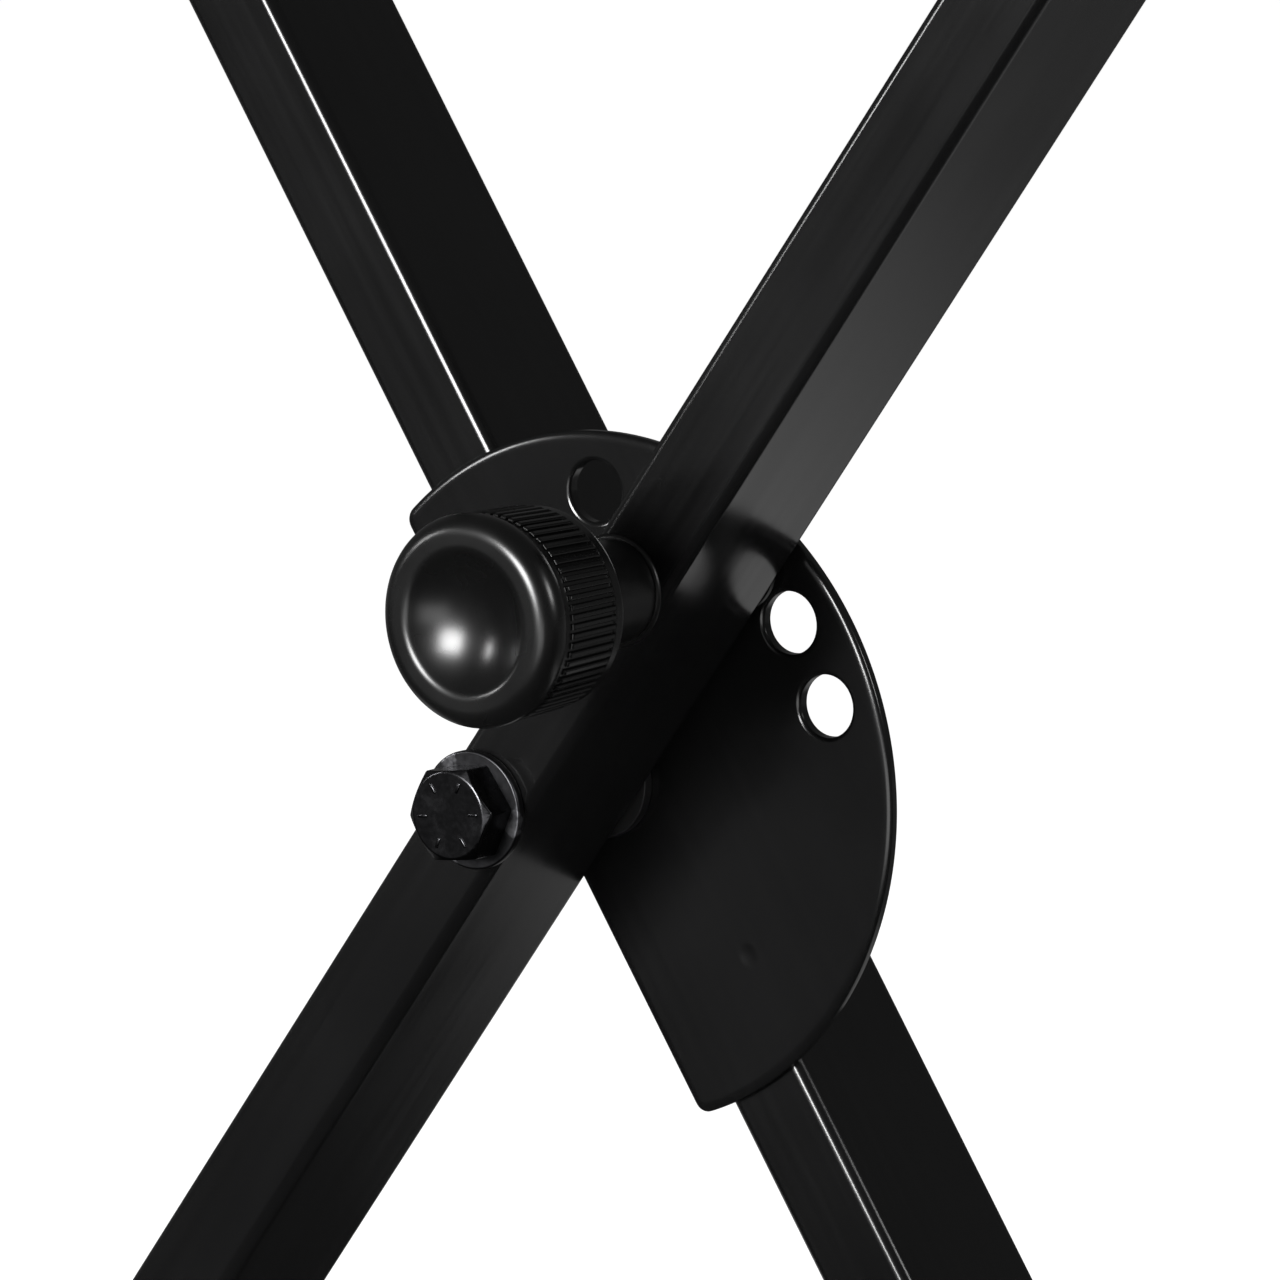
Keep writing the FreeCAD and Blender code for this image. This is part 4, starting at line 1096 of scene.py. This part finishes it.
class STAND_OT_boots(StandOperator, bpy.types.Operator):
    """Models the ribbed rubber boots with their flats for each setting"""
    bl_idname = "stand.boots"
    bl_label = "Boots"

    def execute(self, context):
        boots, bars, plate = context.scene.stand_boots, context.scene.stand_bars, context.scene.stand_plate
        boot = self.make_boot(boots, bars, plate)
        for side, floor_side in SIDES.items():
            for name, span, over in (("base_boots", bars.base_span, 0),
                                     ("arm_boots", bars.arm_span, math.pi)):
                copies = []
                for far in (1, -1):
                    twin = copy_of(boot, "copy")
                    mirror = Matrix.Diagonal((floor_side, far, 1, 1))
                    end = Matrix.Translation((0, span / 2, -bars.reach)) @ Matrix.Rotation(QUARTER, 4, "X")
                    put(twin, leg_place(side) @ Matrix.Rotation(over, 4, "Y") @ mirror @ end)
                    copies.append(twin)
                node = side + "_" + name
                dress(joined(node + "_dressed", copies), BODIES[side], "boot_rubber", node)
        bpy.data.objects.remove(boot)
        return {"FINISHED"}

    def make_boot(self, sizes, bars, plate):
        """A boot along Z, its closed end at 0."""
        rib = sizes.tread + sizes.tread_round
        radius, edge = rib - sizes.rib_height, sizes.rib_edge
        points = [(0, 0)] + arc((radius - sizes.end_round, sizes.end_round), sizes.end_round, -90, 0, 8)
        for number in range(sizes.ribs):
            start = sizes.rib_start + number * sizes.rib_pitch
            stop = start + sizes.rib_width
            points += ([(radius, start)] + arc((rib - edge, start + edge), edge, -90, 0, 3)
                       + arc((rib - edge, stop - edge), edge, 0, 90, 3) + [(radius, stop)])
        mouth = sizes.length - sizes.mouth
        points += [(radius, mouth)] + [(radius - sizes.mouth, sizes.length), (0, sizes.length)]
        boot = turned("boot", points, 96)
        for setting in range(plate.holes):
            lean = LEAN + (setting - plate.holes // 2) * plate.hole_pitch / 2
            towards = Vector((math.sin(lean), -math.cos(lean), 0))
            take(boot)
            bpy.ops.object.mode_set(mode="EDIT")
            bpy.ops.mesh.select_all(action="SELECT")
            bpy.ops.mesh.bisect(
                plane_co=towards * sizes.tread, plane_no=towards, use_fill=True, clear_outer=True)
            tidy(boot)
        socket = block("socket", (-bars.side / 2, -bars.side / 2, sizes.end_wall),
                       (bars.side / 2, bars.side / 2, 2 * sizes.length))
        round_edges(socket, lambda e: runs_along(e, AXIS_Z), bars.corner, 6)
        cut(boot, socket)
        return boot


class STAND_OT_stage(StandOperator, bpy.types.Operator):
    """Sets up the floor, the lights and the camera"""
    bl_idname = "stand.stage"
    bl_label = "Stage"

    def execute(self, context):
        view = context.scene.stand_view
        self.make_camera(context, view)
        self.make_floor(view)
        self.make_world(context)
        for name, aim, distance, size, power in LIGHTS:
            self.make_light(context, name, Vector(aim).normalized(), distance, size, power)
        return {"FINISHED"}

    def make_camera(self, context, view):
        forward = Vector((-math.sin(view.turn) * math.cos(view.rise),
                          math.cos(view.turn) * math.cos(view.rise), -math.sin(view.rise)))
        level = forward.cross(AXIS_Z).normalized()
        plumb = forward.cross(level)
        right = math.cos(view.roll) * level - math.sin(view.roll) * plumb
        down = math.sin(view.roll) * level + math.cos(view.roll) * plumb
        place = Vector((PIVOT.x, 0, PIVOT.z))
        place -= view.shift_right * right + view.shift_down * down + view.distance * forward
        data = bpy.data.cameras.new("camera")
        data.lens = view.lens
        data.sensor_width = 36.0
        data.clip_start, data.clip_end = 0.05, 200.0
        camera = bpy.data.objects.new("camera", data)
        context.scene.collection.objects.link(camera)
        turn = Matrix((right, -down, -forward)).transposed().to_4x4()
        camera.matrix_world = Matrix.Translation(place) @ turn
        context.scene.camera = camera

    def make_floor(self, view):
        """A pale floor, and under it a glowing card that polished faces see in its place: a painted reflection of
        the floor, with painted shade close round the stand.
        """
        object_mode()
        bpy.ops.mesh.primitive_plane_add(size=60, location=(0, 0, 0))
        floor = named("floor")
        finish = Finish("floor_paint", roughness=0.9)
        finish.drive("Base Color", (view.floor_white,) * 3)
        finish.drive("Specular IOR Level", 0.1)
        finish.drive("Emission Color", (1.0, 1.0, 1.0))
        finish.drive("Emission Strength", 0.9)
        floor.data.materials.append(finish.material)
        floor.visible_glossy = False
        bpy.ops.mesh.primitive_plane_add(size=30, location=(0, 0, -2 * MM))
        card = named("reflection_card")
        finish = Finish("card_reflected_glow", roughness=1.0)
        finish.drive("Base Color", (0.0, 0.0, 0.0))
        finish.drive("Specular IOR Level", 0.0)
        # The card's glow is painted reflected light and shade. It stays at 0.02 within 0.44 m of the stand as
        # painted shade. A bright ring rises behind the stand, a narrow bright strip and a faint glow lie ahead of
        # it, and a little more light lies far off.
        away = finish.add("ShaderNodeVectorMath", {0: finish.object_place()}, output=1, operation="LENGTH")
        ring = finish.ramp(away, 0.44, 0.60) * 0.58 - finish.ramp(away, 0.62, 0.80) * 0.46
        ahead_of = finish.facing()
        strip = finish.ramp(away, 1.2, 1.7) * finish.ramp(ahead_of, 0.955, 0.985) * 3.0
        behind = 1 - finish.ramp(ahead_of, -0.3, 0.1)
        glow = finish.ramp(away, 0.8, 1.6) * finish.ramp(ahead_of, 0.3, 0.7) * 0.11
        far = finish.ramp(away, 1.2, 3.0) * 0.04
        finish.drive("Emission Color", ring * behind + strip + glow + far + 0.02)
        finish.drive("Emission Strength", 1.0)
        card.data.materials.append(finish.material)
        card.visible_camera = False
        card.visible_diffuse = False
        card.visible_transmission = False
        card.visible_volume_scatter = False
        card.visible_shadow = False

    def make_world(self, context):
        """White to the camera, as the floor is, and a dim room to everything else."""
        world = bpy.data.worlds.new("studio")
        world.use_nodes = True
        context.scene.world = world
        tree = world.node_tree
        background = tree.nodes["Background"]
        path = tree.nodes.new("ShaderNodeLightPath")
        mix = tree.nodes.new("ShaderNodeMix")
        mix.data_type = "RGBA"
        mix.inputs[6].default_value = (0.10, 0.10, 0.10, 1)
        mix.inputs[7].default_value = (1, 1, 1, 1)
        tree.links.new(path.outputs["Is Camera Ray"], mix.inputs[0])
        tree.links.new(mix.outputs[2], background.inputs["Color"])
        context.scene.view_settings.view_transform = "Standard"

    def make_light(self, context, name, aim, distance, size, power):
        data = bpy.data.lights.new(name, "AREA")
        data.shape = "RECTANGLE"
        data.size, data.size_y = size
        data.energy = power
        light = bpy.data.objects.new(name, data)
        context.scene.collection.objects.link(light)
        turn = aim.to_track_quat("Z", "Y").to_matrix().to_4x4()
        light.matrix_world = Matrix.Translation(PIVOT + aim * distance) @ turn
        light.visible_camera = False


LIGHTS = (
    ("front_softbox", (-0.103, -0.968, 0.228), 1.8, (0.62, 0.56), 52.0),
    ("left_softbox", (-0.76, -0.62, 0.185), 1.8, (0.16, 0.30), 4.5),
    ("right_softbox", (0.88, 0.0, 0.47), 1.2, (0.3, 0.3), 4.0),
)


class STAND_PT_pieces(bpy.types.Panel):
    """Lists the stand's pieces"""
    bl_idname = "STAND_PT_pieces"
    bl_label = "Keyboard stand"
    bl_space_type = "VIEW_3D"
    bl_region_type = "UI"
    bl_category = "Stand"

    def draw(self, context):
        for operator in OPERATORS:
            self.layout.operator(operator.bl_idname)


OPERATORS = (
    STAND_OT_finishes, STAND_OT_legs, STAND_OT_plate, STAND_OT_pivot, STAND_OT_housing, STAND_OT_spring,
    STAND_OT_knob, STAND_OT_bars, STAND_OT_fastenings, STAND_OT_boots, STAND_OT_stage,
)


def register():
    for cls in (*SETTINGS.values(), *OPERATORS, STAND_PT_pieces):
        bpy.utils.register_class(cls)
    for name, group in SETTINGS.items():
        setattr(bpy.types.Scene, name, bpy.props.PointerProperty(type=group))


def unregister():
    for name in SETTINGS:
        delattr(bpy.types.Scene, name)
    for cls in (STAND_PT_pieces, *reversed(OPERATORS), *reversed(SETTINGS.values())):
        bpy.utils.unregister_class(cls)


def main():
    register()
    for operator in OPERATORS:
        group, name = operator.bl_idname.split(".")
        getattr(getattr(bpy.ops, group), name)()


if __name__ == "__main__":
    main()
